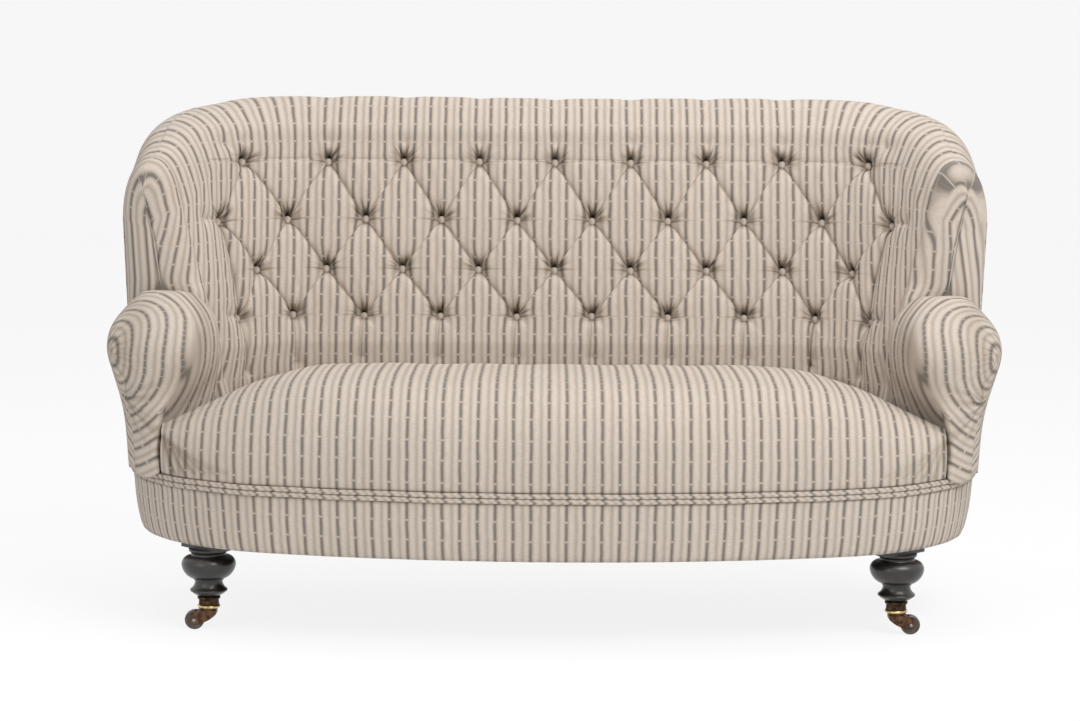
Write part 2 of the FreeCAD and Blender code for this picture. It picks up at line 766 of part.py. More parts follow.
def back_section(column):
    """One upright section of the buttoned back."""
    station = column_station(column)
    seat = size("seat_height")
    is_valley = column % 4 == 2
    seat_puff = -size("tuft_dip") * 0.5 if is_valley else size("tuft_crown") * 0.35
    points = [
        station.point(station.padding_back(rail_top), rail_top),
        station.point(station.inner(seat), rail_top),
        station.point(station.inner(seat), seat),
    ]
    here_height = seat
    here_puff = 0
    levels = [(row_heights[0], puff(column, 0, False))]
    for row in range(3):
        levels.append(((row_heights[row] + row_heights[row + 1]) / 2, puff(column, row, True)))
        levels.append((row_heights[row + 1], puff(column, row + 1, False)))
    foot = top_height(station.angle) - size("roll_height")
    levels.append((foot, size("tuft_crown") * 0.4))
    for number, (height, amount) in enumerate(levels):
        middle = (here_height + height) / 2
        rise = abs(height - here_height) * 0.05
        if number == 0:
            rise = seat_puff * 0.6 + rise
        swell = (here_puff + amount) / 2 + rise
        points.append((station.point(station.inner(middle) - swell, middle),
                       station.point(station.inner(height) - amount, height)))
        here_height = height
        here_puff = amount
    under = top_height(station.angle) - cover_depth(station.angle)
    back = station.point(station.padding_back(under), under)
    return wire_of(points + roll_points(station) + [back])


half_sections = [back_section(column) for column in range(last_column + 1)]


def mirror_wire(wire):
    return wire.mirror(Vector(0, 0, 0), Vector(1, 0, 0))


sections = [mirror_wire(wire) for wire in reversed(half_sections[1:])] + half_sections
inside_back_shape = loft(sections)
shaped("inside_back", inside_back_shape)


# Wing pads, going on round from the back to the rolled front edge above the arms
def wing_section(angle, inset, wraps):
    """An upright section of the wing; the front edge wraps over the post to the outside."""
    station = Station(corner_origin, angle)
    seat = size("seat_height")
    foot = top_height(angle) - inset - size("roll_height")
    under = top_height(angle) - inset - cover_depth(angle)
    middle = (seat + foot) / 2
    notch = size("welt_diameter") * 0.7
    levels = [(under, 0), (welt_top + notch, 0), (welt_top + gap, notch), (rail_top, notch)]
    if wraps:
        levels[0] = (under - size("roll_height") * 0.1, 0)
    back = []
    for height, tuck in levels:
        reach = station.shell(height) - inset - tuck if wraps else station.padding_back(height)
        back.append(station.point(reach, height))
    points = [
        back[3],
        station.point(station.inner(seat) + inset, rail_top),
        station.point(station.inner(seat) + inset, seat),
        (station.point(station.inner(middle) - size("tuft_crown") + inset, middle),
         station.point(station.inner(foot) - size("tuft_crown") * 0.4 + inset, foot)),
    ]
    points += roll_points(station, inset)
    return wire_of(points + back[:3])


wing_start = column_station(last_column).angle - 0.2
wing_end = wing_start - size("wing_turn")
post_share = 0.8
wrap_share = post_share + 0.01
wing_angle_shares = (0, 0.25, 0.5, post_share, wrap_share, 0.9, 0.97, 1)
wing_inset_shares = (0, 0, 0, 0, 0, 0.12, 0.45, 1)
wing_wires = []
for angle_share, inset_share in zip(wing_angle_shares, wing_inset_shares):
    wing_wires.append(wing_section(wing_start - size("wing_turn") * angle_share,
                                   size("wing_nose") * inset_share, angle_share >= wrap_share))
wing_pad = shaped("wing_pad_right", loft(wing_wires))
mirrored("wing_pad_left", wing_pad)

# Timber, canvas and covers that follow the back round its corners
def slab(stations, low, high, inner, outer):
    """A plate along the back: each station gives its heights and its inner and outer reach."""
    wires = []
    for station in stations:
        bottom = low(station)
        top = high(station)
        middle = (bottom + top) / 2
        points = [station.point(outer(station, level), level) for level in (bottom, middle, top)]
        points += [station.point(inner(station, level), level) for level in (top, middle, bottom)]
        wires.append(wire_of(points))
    return loft(wires)


def timber_in(station, height):
    return station.timber(height)


def timber_setback(station, height):
    return station.timber(height) + size("post_setback")


def timber_thin(station, height):
    return timber_out(station, height) - size("post_setback") / 2


def timber_out(station, height):
    return station.timber(height) + size("back_timber")


def roll_underside(station):
    return top_height(station.angle) - cover_depth(station.angle) - gap


def straight_stations(left, right):
    return [Station(flat(left, 0), 90), Station(flat(right, 0), 90)]


def round_stations(angles):
    return [Station(corner_origin, angle) for angle in angles]


post_front_angle = wing_start - size("wing_turn") * post_share
corner_columns = range(math.ceil(tub_half / column_step) + 1, last_column + 1)
wing_angles = [wing_start - size("wing_turn") * share for share in wing_angle_shares if share <= post_share]
rail_angles = [90] + [column_station(column).angle for column in corner_columns] + wing_angles

shaped("crest_rail", slab(straight_stations(-tub_half, tub_half), lambda station: post_top,
                          roll_underside, timber_in, timber_out))
wing_rail = shaped("wing_rail_right", slab(
    round_stations(rail_angles), lambda station: roll_underside(station) - size("crest_depth") + gap,
    roll_underside, timber_in, timber_thin))
mirrored("wing_rail_left", wing_rail)

wing_post_angles = (rail_angles[-2], rail_angles[-1])
wing_post = shaped("wing_post_right", slab(
    round_stations(wing_post_angles), lambda station: rail_top,
    lambda station: roll_underside(station) - size("crest_depth") + gap, timber_in, timber_out))
mirrored("wing_post_left", wing_post)

# Lower back rail between the posts, and two uprights from it to the crest rail, between the tufts
lower_rail_top = size("seat_height") + size("rail_thickness")
lower_rail_low = lower_rail_top - size("crest_depth")
shaped("lower_back_rail", slab(
    straight_stations(-post_inner_x, post_inner_x), lambda station: lower_rail_low,
    lambda station: lower_rail_top, timber_setback, timber_out))
upright_shapes = []
for side in (-1, 1):
    middle = side * column_step * 5
    half = size("post_width") / 2
    upright_shapes.append(slab(
        straight_stations(middle - half, middle + half), lambda station: lower_rail_top,
        lambda station: post_top, timber_in, timber_out))
shaped("back_uprights", Part.makeCompound(upright_shapes))

# Hessian on the front of the back frame, one piece from wing to wing
def canvas_wire(station):
    low = rail_top
    high = top_height(station.angle) - cover_depth(station.angle)
    return wire_of([
        station.point(station.padding_back(low), low), station.point(station.timber(low), low),
        station.point(station.timber(high), high), station.point(station.padding_back(high), high)])


right_canvas = [canvas_wire(station) for station in round_stations(rail_angles)]
canvas_shape = loft([mirror_wire(wire) for wire in reversed(right_canvas)] + right_canvas)

# Outside back, a flat raked panel down to the hem
def back_panel_wire(height):
    side = seam_x(height)
    back = rear_y(height)
    inner = back - size("cover_thickness")
    return wire_of([Vector(-side, back, height), Vector(side, back, height),
                    Vector(side, inner, height), Vector(-side, inner, height)])


panel_levels = (size("rail_bottom") + gap, crest_top - gap)
shaped("outside_back", loft([back_panel_wire(level) for level in panel_levels]))

# Outside arms, from the back seam round the corner to the arm
def cover_wire(station):
    """Cover from above the welt to the roll, at one station."""
    low = welt_top
    high = roll_underside(station)
    thick = size("cover_thickness")
    return wire_of([
        station.point(station.shell(low), low), station.point(station.shell(high), high),
        station.point(station.shell(high) - thick, high), station.point(station.shell(low) - thick, low)])


def seam_wire():
    low = welt_top
    high = crest_top - gap
    thick = size("cover_thickness")
    low_x = seam_x(low) + gap
    high_x = seam_x(high) + gap
    return wire_of([
        Vector(low_x, rear_y(low), low), Vector(high_x, rear_y(high), high),
        Vector(high_x, rear_y(high) - thick, high), Vector(low_x, rear_y(low) - thick, low)])


cover_angles = [angle for angle in rail_angles if angle < 60]
cover_wires = [seam_wire()] + [cover_wire(station) for station in round_stations(cover_angles)]
outside_arm = shaped("outside_arm_right", loft(cover_wires))
mirrored("outside_arm_left", outside_arm)


# Seat pad: front edge on the bow and the corners, back edge along the back and the arms
splay = 90 - size("tub_turn")
tub_bend_x = tub_half + size("tub_radius") * math.cos(math.radians(splay))
tub_bend_y = corner_origin.y + size("tub_radius") * math.sin(math.radians(splay))


def seat_back_y(x):
    x = abs(x)
    if x <= tub_half:
        return seat_line_y - gap
    if x <= tub_bend_x:
        return corner_origin.y + math.sqrt(size("tub_radius") ** 2 - (x - tub_half) ** 2) - gap * 4
    return tub_bend_y - (x - tub_bend_x) * math.tan(math.radians(size("tub_turn"))) - gap * 2


def seat_front_y(x):
    x = abs(x)
    if x <= bow_point(bow_end, 0).x:
        return bow_centre.y - math.sqrt(bow_radius ** 2 - x ** 2)
    return corner_y - math.sqrt(size("corner_radius") ** 2 - (x - corner_x) ** 2)


def seat_section(x):
    back = seat_back_y(x)
    front = seat_front_y(x)
    depth = back - front
    side_share = max(0, (abs(x) - tub_half * 0.9) / (welt_half - tub_half * 0.9))
    back_top = size("seat_height") - size("seat_side_drop") * side_share ** 1.5 * 1.35
    rise = back_top - welt_top
    crown = back_top + size("seat_crown") * min(1, depth / size("seat_depth"))
    facing = 1
    if abs(x) > bow_point(bow_end, 0).x:
        facing = (corner_y - front) / size("corner_radius")
    notch = size("welt_diameter") * 0.7 / facing
    shoulder = min(size("seat_front_radius"), depth * 0.4)
    front_top = welt_top + (crown - welt_top) * 0.78
    return wire_of([
        Vector(x, back, rail_top),
        Vector(x, front + notch, rail_top),
        Vector(x, front + notch, welt_top + gap),
        Vector(x, front, welt_top + gap),
        (Vector(x, front - size("seat_bulge"), welt_top + rise * 0.3),
         Vector(x, front + shoulder * 0.28, front_top)),
        (Vector(x, front + shoulder * 0.9, front_top + (crown - front_top) * 0.72),
         Vector(x, front + depth * 0.5, crown)),
        (Vector(x, front + depth * 0.78, (crown * 2.6 + back_top) / 3.6), Vector(x, back, back_top)),
    ])


seat_end = welt_half - size("arm_width") * 0.45
seat_x_shares = (0, 0.2, 0.4, 0.58, 0.7, 0.78, 0.84, 0.89, 0.93, 0.965, 1)
seat_half = [seat_section(seat_end * share) for share in seat_x_shares]
seat_shape = loft([mirror_wire(wire) for wire in reversed(seat_half[1:])] + seat_half)

# Well under the seat pad for the springs, lined with hessian
deck_top = size("rail_bottom") + size("spring_height") + size("canvas_thickness")
well_front = front_y + rail_inner + size("leg_block_width") * 0.4
well_back = seat_line_y - size("rail_thickness")
well_shares = ((-0.9, 0), (0.9, 0), (1.16, 0.36), (1.16, 0.72), (1, 1), (-1, 1), (-1.16, 0.72), (-1.16, 0.36))


def well_wire(height, inset):
    points = []
    for x_share, y_share in well_shares:
        x = tub_half * x_share
        y = well_front + (well_back - well_front) * y_share
        centre_y = (well_front + well_back) / 2
        shrink = 1 - inset / tub_half
        points.append(Vector(x * shrink, centre_y + (y - centre_y) * shrink, height))
    return wire_of(points)


well_slope = size("rail_thickness")
well_shape = loft([well_wire(rail_top, 0), well_wire(deck_top, well_slope)])
under_cloth = size("canvas_thickness")
lining = under_cloth * 1.4
well_inside = loft([well_wire(rail_top, lining), well_wire(deck_top - under_cloth, well_slope + lining)])
shaped("seat_pad", seat_shape.cut(well_shape))
shaped("seat_hessian", well_shape.cut(well_inside))


# Seat springs, each one unbroken waisted coil of wire standing on the webbing
def seat_spring(x, y):
    turns = 4
    sides = 10
    low = size("rail_bottom") + size("spring_wire") / 2 + gap
    high = deck_top - size("canvas_thickness") - size("spring_wire") / 2 - gap
    points = []
    for step in range(turns * sides + 1):
        share = step / (turns * sides)
        waist = abs(2 * share - 1) ** 1.2
        spread = size("spring_waist") + (size("spring_diameter") - size("spring_waist")) * waist
        radius = (spread - size("spring_wire")) / 2
        place = flat(x, y) + plan(360 * step / sides) * radius
        points.append(at(place, low + (high - low) * share))
    path = Part.makePolygon(points)
    half = size("spring_wire") / 2
    corners = []
    for out_side, up_side in ((-1, -1), (1, -1), (1, 1), (-1, 1)):
        corners.append(points[0] + Vector(out_side * half, 0, up_side * half))
    section = Part.makePolygon(corners + [corners[0]])
    return path.makePipeShell([section], True, False, 1)


bearer_bay = bearer_x / 2
outer_springs = tub_half * 0.77
spring_columns = (-outer_springs, -bearer_bay, bearer_bay, outer_springs)
spring_rows = [well_front + (well_back - well_front) * share for share in (0.17, 0.5, 0.83)]
springs = [seat_spring(x, y) for x in spring_columns for y in spring_rows]
shaped("seat_springs", Part.makeCompound(springs))

# Jute webbing under the rails, front to back and from side to side
web = size("webbing_width")
web_thick = size("webbing_thickness")
strips = []
for x in spring_columns:
    front = seat_front_y(abs(x) + web / 2) + rail_inset + gap * 10
    strips.append(Part.makeBox(web, frame_rear_y - front, web_thick,
                               Vector(x - web / 2, front, size("rail_bottom") - web_thick)))
shaped("seat_webbing", Part.makeCompound(strips))

# Black bottom cloth, inside the hem, clear of the legs and hanging just below the webbing
cloth_z = size("rail_bottom") - web_thick - size("canvas_thickness") - gap
cloth_x = corner_point(block_angle + block_sweep, block_inner_inset).x
cloth_tack = size("leg_block_width") * 0.55
leg_inside = rear_top.x - size("post_width") / 2 - gap
leg_front = rear_top.y - size("post_width") / 2 - gap
leg_rear = rear_top.y + size("post_width") / 2 + gap
cloth_inset = rail_inset + size("rail_thickness") / 3
cloth_points = [
    flat(-cloth_x * 0.9, seat_front_y(cloth_x * 0.9) + cloth_inset),
    (flat(0, front_y + cloth_inset), flat(cloth_x * 0.9, seat_front_y(cloth_x * 0.9) + cloth_inset)),
    flat(cloth_x * 0.9, corner_y - size("leg_block_width") * 0.4),
    flat(welt_half - rail_inner, corner_y - size("leg_block_width") * 0.4),
    flat(welt_half - rail_inner, corner_y + gap),
    flat(rear_top.x + cloth_tack, leg_front),
    flat(leg_inside, leg_front),
    flat(leg_inside, leg_rear),
    flat(rail_rear_x, frame_rear_y - gap * 3),
    flat(-rail_rear_x, frame_rear_y - gap * 3),
    flat(-leg_inside, leg_rear),
    flat(-leg_inside, leg_front),
    flat(-rear_top.x - cloth_tack, leg_front),
    flat(-welt_half + rail_inner, corner_y + gap),
    flat(-welt_half + rail_inner, corner_y - size("leg_block_width") * 0.4),
    flat(-cloth_x * 0.9, corner_y - size("leg_block_width") * 0.4),
]
bottom_cloth = padded("bottom_cloth", cloth_points, "Sizes.canvas_thickness")
bottom_cloth.Placement.Base = Vector(0, 0, cloth_z)
keep("bottom_cloth", bottom_cloth)

# Scroll arm pads, as outlines in plan from the seat rails up to the crest of the roll.
# Sideways shares are of the arm's width from the inside of the wing, forward shares of its length.
arm_back_y = corner_origin.y + math.sin(math.radians(wing_end)) * (wing_half - tub_half) - gap
arm_inside_x = tub_bend_x + (tub_bend_y - arm_back_y) / math.tan(math.radians(size("tub_turn")))
arm_origin = flat(arm_inside_x + gap, arm_back_y)
arm_level_shares = (
    # height, inside back, elbow, front inside, front outside, outside back
    (0.155, 0.0, (0.47, 0.767), (0.472, 0.977), (0.806, 0.49), 0.935),
    (0.30, 0.005, (0.465, 0.765), (0.472, 0.97), (0.835, 0.52), 0.945),
    (0.37, 0.01, (0.425, 0.745), (0.45, 0.96), (0.85, 0.54), 0.955),
    (0.45, 0.0, (0.35, 0.745), (0.39, 0.95), (0.885, 0.6), 0.975),
    (0.55, -0.03, (0.205, 0.767), (0.272, 0.94), (0.94, 0.69), 1.0),
    (0.70, -0.05, (0.10, 0.717), (0.172, 0.967), (1.0, 0.767), 1.035),
    (0.84, -0.03, (0.10, 0.617), (0.183, 0.842), (0.972, 0.642), 1.005),
    (0.94, 0.07, (0.205, 0.39), (0.328, 0.567), (0.828, 0.44), 0.917),
    (1.0, 0.27, (0.34, 0.117), (0.44, 0.217), (0.63, 0.177), 0.717),
)
arm_swell_share = 0.13
facing_angle = corner_start * 0.27


def arm_place(sideways, forward, level):
    return Vector(arm_origin.x + size("arm_width") * sideways,
                  arm_origin.y - size("arm_length") * forward, level)


def arm_base(level, inset):
    """Outline on the seat frame: along the seat, then round the corner on the border."""
    seat_side = seat_end + gap
    back_inner = arm_place(0, 0, level)
    elbow = Vector(seat_side, seat_back_y(seat_end) + gap * 2, level)
    tip_turn = math.degrees(math.acos((seat_side - corner_x) / (size("corner_radius") - inset)))
    tip = at(corner_point(-tip_turn, inset), level)
    outside = at(corner_point(facing_angle, inset), level)
    middle = at(corner_point((facing_angle - tip_turn) / 2, inset), level)
    start_turn = math.degrees(math.asin((arm_origin.y - corner_y) / (size("corner_radius") - inset)))
    side_middle = at(corner_point((facing_angle + start_turn) / 2, inset), level)
    back_outer = at(corner_point(start_turn, inset), level)
    return wire_of([back_outer, back_inner, elbow, tip, (middle, outside), (side_middle, back_outer)])


def arm_outline(row):
    height_share, inside, elbow_shares, tip_shares, outside_shares, outer = row
    level = rail_top + (size("arm_height") - rail_top) * height_share
    back_inner = arm_place(inside, 0, level)
    back_outer = arm_place(outer, 0, level)
    elbow = arm_place(*elbow_shares, level)
    tip = arm_place(*tip_shares, level)
    outside = arm_place(*outside_shares, level)
    forward = (outside - tip).cross(UP).normalize()
    swell = (outside - tip).Length * arm_swell_share
    side_swell = (back_outer - outside).Length * arm_swell_share / 2
    middle = (tip + outside) * 0.5 + forward * swell
    side_middle = (outside + back_outer) * 0.5 + Vector(side_swell, 0, 0)
    return wire_of([back_outer, back_inner, elbow, tip, (middle, outside), (side_middle, back_outer)])


def arm_loft():
    notch = size("welt_diameter") * 0.7
    edges = [arm_base(rail_top, notch), arm_base(welt_top + gap, notch), arm_base(welt_top + notch, 0)]
    edges += [arm_outline(row) for row in arm_level_shares]
    return loft(edges)


arm_solid = arm_loft()

# Arm rail from the wing post and the stump under it, inside the arm stuffing
arm_rail_top = size("arm_height") - size("roll_height")
arm_rail_height = size("back_timber") * 0.7
stump_turn = corner_start * 0.19
stump_place = at(corner_point(stump_turn, (rail_inset + rail_inner) / 2), rail_top)
post_front = round_stations([post_front_angle])[0]
post_face = post_front.point(post_front.timber(arm_rail_top), 0)
arm_rail_length = size("arm_length") * 0.64
arm_rail_place = Vector((stump_place.x + post_face.x) / 2 + size("back_timber") * 0.2,
                        post_face.y - gap - arm_rail_length / 2, arm_rail_top - arm_rail_height)
arm_rail = box("arm_rail_right", "Sizes.post_width * 1.3", "Sizes.arm_length * 0.64",
               "Sizes.back_timber * 0.7", arm_rail_place)
keep("arm_rail_right", arm_rail)
mirrored("arm_rail_left", arm_rail)
arm_stump = box("arm_stump_right", "Sizes.back_timber", "Sizes.back_timber",
                "Sizes.arm_height - Sizes.roll_height - Sizes.back_timber * 0.7"
                " - Sizes.rail_bottom - Sizes.rail_height", stump_place, stump_turn)
twins("arm_stumps", arm_stump)
doc.recompute()
arm_pad = shaped("arm_pad_right", arm_solid.cut([arm_rail.Shape, arm_stump.Shape]))
mirrored("arm_pad_left", arm_pad)
wing_pad.Shape = wing_pad.Shape.cut(arm_rail.Shape)


# Covered buttons in the tufts, and the twine that ties each one through to the canvas
def tuft_places():
    """Station, height and side of every button."""
    places = []
    for row, height in enumerate(row_heights):
        start = 2 if row % 2 == 0 else 0
        for column in range(start, last_column + 1, 4):
            for side in ((1, -1) if column else (1,)):
                places.append((column_station(column), height, side))
    return places


def tuft_axis(station):
    """The way that a button is drawn in, square to the leaning back."""
    tilt = math.radians(size("back_rake"))
    return station.outward * math.cos(tilt) - UP * math.sin(tilt)


button_shapes = []
twine_shapes = []
hole_shapes = []
wing_holes = []


def square_rod(start, axis, length, side):
    across = axis.cross(UP).normalize()
    upward = across.cross(axis)
    half = side / 2
    corners = []
    for sideways, up_side in ((-1, -1), (1, -1), (1, 1), (-1, 1)):
        corners.append(start + across * (half * sideways) + upward * (half * up_side))
    return Part.Face(Part.makePolygon(corners + [corners[0]])).extrude(axis * length)


def flipped(shape):
    return shape.mirror(Vector(0, 0, 0), Vector(1, 0, 0))


pocket_shapes = []
for station, height, side in tuft_places():
    axis = tuft_axis(station)
    deep = station.point(station.inner(height) + size("tuft_dip"), height)
    seat_point = deep - axis * size("button_nest")
    button = Part.makeCone(size("button_diameter") / 2, size("button_diameter") / 2 * 0.72,
                           size("button_thickness"), seat_point, axis * -1)
    through = station.padding_back(height) - station.inner(height) - size("tuft_dip")
    length = size("button_nest") + through + size("canvas_thickness") + size("twine_width") * 1.4
    twine = square_rod(seat_point, axis, length, size("twine_width"))
    hole = square_rod(seat_point - axis * size("button_nest"), axis, length * 1.3, size("twine_width") + gap)
    pocket_radius = size("button_diameter") / 2 + gap / 2
    pocket = Part.makeCylinder(pocket_radius, size("tuft_dip") * 2, seat_point, axis * -1)
    if station.angle <= wing_start + gap and side > 0:
        wing_holes += [hole, pocket]
    if side < 0:
        button, twine, hole, pocket = [flipped(shape) for shape in (button, twine, hole, pocket)]
    button_shapes.append(button)
    twine_shapes.append(twine)
    hole_shapes.append(hole)
    pocket_shapes.append(pocket)

shaped("tufting_buttons", Part.makeCompound(button_shapes))
shaped("tufting_twine", Part.makeCompound(twine_shapes))
nodes["inside_back"].Shape = inside_back_shape.cut(hole_shapes + pocket_shapes)
wing_pad.Shape = wing_pad.Shape.cut(wing_holes)
shaped("back_hessian", canvas_shape.cut(hole_shapes))


# Castors: cup on the foot, horn that swivels in it, axle pin and wheel
def cup_outline():
    bore = foot_radius + size("running_clearance") / 8
    outside = bore + size("cup_wall")
    bottom = size("cup_bottom")
    top = bottom + size("cup_height")
    bead = size("cup_wall") * 1.4
    hole = size("pivot_diameter") / 2 + size("running_clearance")
    return [
        flat(hole, bottom), flat(outside - bead / 2, bottom),
        (flat(outside + bead * 0.35, bottom + bead), flat(outside - bead / 2, bottom + bead * 2)),
        flat(outside - bead / 2, top - bead * 2),
        (flat(outside + bead * 0.45, top - bead), flat(outside - bead / 3, top)),
        flat(bore, top), flat(bore, bottom + size("cup_plate")), flat(hole, bottom + size("cup_plate")),
    ]


def pivot_outline():
    """Swivel pin, riveted above the cup's plate, and the flange that turns under it."""
    shaft = size("pivot_diameter") / 2
    head = size("pivot_diameter") * 0.8
    flange = size("fork_width") / 2
    clear = size("running_clearance")
    under = size("cup_bottom") - clear
    plate_top = size("cup_bottom") + size("cup_plate")
    return [
        flat(0, under - size("cup_plate")), flat(flange, under - size("cup_plate")), flat(flange, under),
        flat(shaft, under), flat(shaft, plate_top + clear), flat(head, plate_top + clear),
        flat(head, plate_top + clear + size("cup_plate")), flat(0, plate_top + clear + size("cup_plate")),
    ]


def horn_outline():
    """Side of the horn, from the flange down to round ends about the axle."""
    top = size("cup_bottom") - size("running_clearance") - size("cup_plate")
    flange = size("fork_width") / 2
    trail = size("castor_trail")
    axle = size("wheel_diameter") / 2
    end = size("axle_diameter") * 1.3
    return [
        flat(-flange, top), flat(flange, top),
        (flat(trail * 0.86, top - end * 0.35), flat(trail + end * 0.7, axle + end * 0.71)),
        (flat(trail + end, axle), flat(trail, axle - end)),
        (flat(trail * 0.3, axle - end * 0.5), flat(-flange, top - end)),
    ]


def wheel_outline():
    half = size("wheel_width") / 2
    radius = size("wheel_diameter") / 2
    bore = size("axle_diameter") / 2 + size("running_clearance") / 2
    round_off = radius * 0.3
    return [
        flat(bore, -half), flat(radius - round_off, -half),
        (flat(radius - round_off * 0.3, -half * 0.86), flat(radius, -half * 0.35)),
        flat(radius, half * 0.35),
        (flat(radius - round_off * 0.3, half * 0.86), flat(radius - round_off, half)),
        flat(bore, half),
    ]


def castor(end, x, y, turn):
    """One castor: end is front or rear, turn is the way that it trails."""
    place = Vector(x, y, 0)
    spin = FreeCAD.Rotation(UP, turn)
    cup = turned("cup_" + end, cup_outline())
    cup.Placement.Base = place
    axle_place = place + spin.multVec(Vector(size("castor_trail"), 0, size("wheel_diameter") / 2))
    across = spin.multVec(Vector(0, -1, 0))
    horn_body = padded("horn_cheeks_" + end, horn_outline(), "Sizes.fork_width", "XZ_Plane", True)
    horn_body.Placement = FreeCAD.Placement(place, spin)
    pivot = turned("horn_pivot_" + end, pivot_outline())
    pivot.Placement.Base = place
    slot_start = axle_place - across * (size("wheel_width") / 2 + size("running_clearance") * 2)
    slot = cylinder("horn_slot_" + end, "Sizes.wheel_diameter / 2 + Sizes.running_clearance * 4",
                    "Sizes.wheel_width + Sizes.running_clearance * 4", slot_start, across)
    pin_start = axle_place - across * (size("fork_width") / 2 + size("running_clearance"))
    pin_hole = cylinder("horn_bore_" + end, "Sizes.axle_diameter / 2",
                        "Sizes.fork_width + Sizes.running_clearance * 2", pin_start, across)
    horn = cut("castor_horn_" + end, fused("horn_whole_" + end, [horn_body, pivot]), [slot, pin_hole])
    pin = cylinder("castor_axle_" + end, "Sizes.axle_diameter / 2",
                   "Sizes.fork_width + Sizes.running_clearance * 2", pin_start, across)
    wheel = turned("castor_wheel_" + end, wheel_outline())
    wheel.Placement = FreeCAD.Placement(axle_place, FreeCAD.Rotation(UP, across))
    for kind, obj in (("cup", cup), ("horn", horn), ("axle", pin), ("wheel", wheel)):
        keep("castor_" + kind + "_" + end + "_right", obj)
        mirrored("castor_" + kind + "_" + end + "_left", obj)


castor("front", leg_place.x, leg_place.y, 0)
castor("rear", rear_foot.x, rear_foot.y, 90)

doc.recompute()
for obj in doc.Objects:
    if "Invalid" in obj.State or "Error" in obj.State:
        raise RuntimeError(obj.Name + " did not recompute")
for label, obj in nodes.items():
    if obj.Shape.isNull() or not obj.Shape.isValid():
        raise RuntimeError(label + " is not a sound shape")
os.makedirs("parts", exist_ok=True)
for label, obj in nodes.items():
    shape = obj.Shape
    shape.exportStep("parts/" + label + ".step")
    print(label, len(shape.Solids), round(shape.Volume / 1e6, 3))
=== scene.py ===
import math

import bmesh
import bpy
import numpy as np
from mathutils import Matrix, Vector
from mathutils.bvhtree import BVHTree


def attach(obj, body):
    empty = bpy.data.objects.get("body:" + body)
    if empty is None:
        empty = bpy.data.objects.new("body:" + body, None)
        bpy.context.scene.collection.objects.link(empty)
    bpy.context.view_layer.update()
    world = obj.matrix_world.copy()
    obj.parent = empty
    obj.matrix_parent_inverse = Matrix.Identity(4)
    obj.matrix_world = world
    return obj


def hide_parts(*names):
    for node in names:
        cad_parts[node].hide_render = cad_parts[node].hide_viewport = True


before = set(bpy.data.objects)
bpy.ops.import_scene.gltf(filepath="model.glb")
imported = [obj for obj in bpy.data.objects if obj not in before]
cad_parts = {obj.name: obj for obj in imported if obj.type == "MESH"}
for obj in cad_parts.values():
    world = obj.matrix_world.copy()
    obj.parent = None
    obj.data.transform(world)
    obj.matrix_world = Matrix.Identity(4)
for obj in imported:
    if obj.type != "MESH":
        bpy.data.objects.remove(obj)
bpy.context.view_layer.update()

# Sizes of the sofa, metres
SEAT_HEIGHT = 0.452
SOFA_HEIGHT = 0.960
RAIL_BOTTOM = 0.163
RAIL_TOP = 0.272
HEM = 0.158
HEM_INSET = 0.016
WELT_HEIGHT = 0.273
WELT_RADIUS = 0.00475
WELT_TOP = WELT_HEIGHT + 2 * WELT_RADIUS
WELT_HALF = 0.796
WING_HALF = 0.816
CORNER_RADIUS = 0.380
REAR_CORNER = 0.180
TUB_HALF = 0.450
TUB_RADIUS = 0.160
RAKE = math.tan(math.radians(14.6))
BACK_THICKNESS = 0.115
CREST_COVER = 0.044
WING_COVER = 0.112
ROLL_HEIGHT = 0.096
WING_DROP = 0.160
ARM_HEIGHT = 0.602
PITCH = 0.148
ROWS = (0.836, 0.724, 0.629, 0.540)
CROWN = 0.013

CREST_TOP = SOFA_HEIGHT - CREST_COVER
FRONT_BULGE = 0.007
SEAT_DEPTH = 0.556
DEPTH = FRONT_BULGE + SEAT_DEPTH + BACK_THICKNESS + RAKE * (CREST_TOP - SEAT_HEIGHT)
FRONT_Y = -DEPTH / 2 + FRONT_BULGE
SEAT_LINE = FRONT_Y + SEAT_DEPTH
CORNER_ORIGIN = np.array((TUB_HALF, SEAT_LINE - TUB_RADIUS))
CORNER_REACH = TUB_RADIUS + RAKE * (ROWS[1] - SEAT_HEIGHT) * 0.9
CORNER_X = WELT_HALF - CORNER_RADIUS
FRAME_REAR = SEAT_LINE + BACK_THICKNESS + RAKE * (RAIL_BOTTOM - SEAT_HEIGHT) - 0.0033
CORNER_Y = FRAME_REAR - 0.1544
BOW_RISE = CORNER_Y - FRONT_Y - CORNER_RADIUS
BOW_RADIUS = (CORNER_X ** 2 + (CORNER_Y - FRONT_Y) ** 2 - CORNER_RADIUS ** 2) / (2 * BOW_RISE)
BOW_CENTRE_Y = FRONT_Y + BOW_RADIUS
BOW_END = math.asin(CORNER_X / (BOW_RADIUS - CORNER_RADIUS))
WING_FRONT = -0.5
WING_FRONT_Y = CORNER_ORIGIN[1] + math.sin(math.radians(WING_FRONT)) * (WING_HALF - TUB_HALF)
SPLAY = 28.0

STRIPE_REPEAT = 0.0312
STRIPE_START = 0.0087
GATHER = 5 * STRIPE_REPEAT / PITCH
FOLDED = (5 * STRIPE_REPEAT - PITCH) / 2
MARK_REPEAT = 0.076
ROW_STEP = 0.098
WEFT_STEP = 0.0012
WARP_STEP = 0.0010

SIDES = ((1, "right"), (-1, "left"))

rng = np.random.default_rng(7)


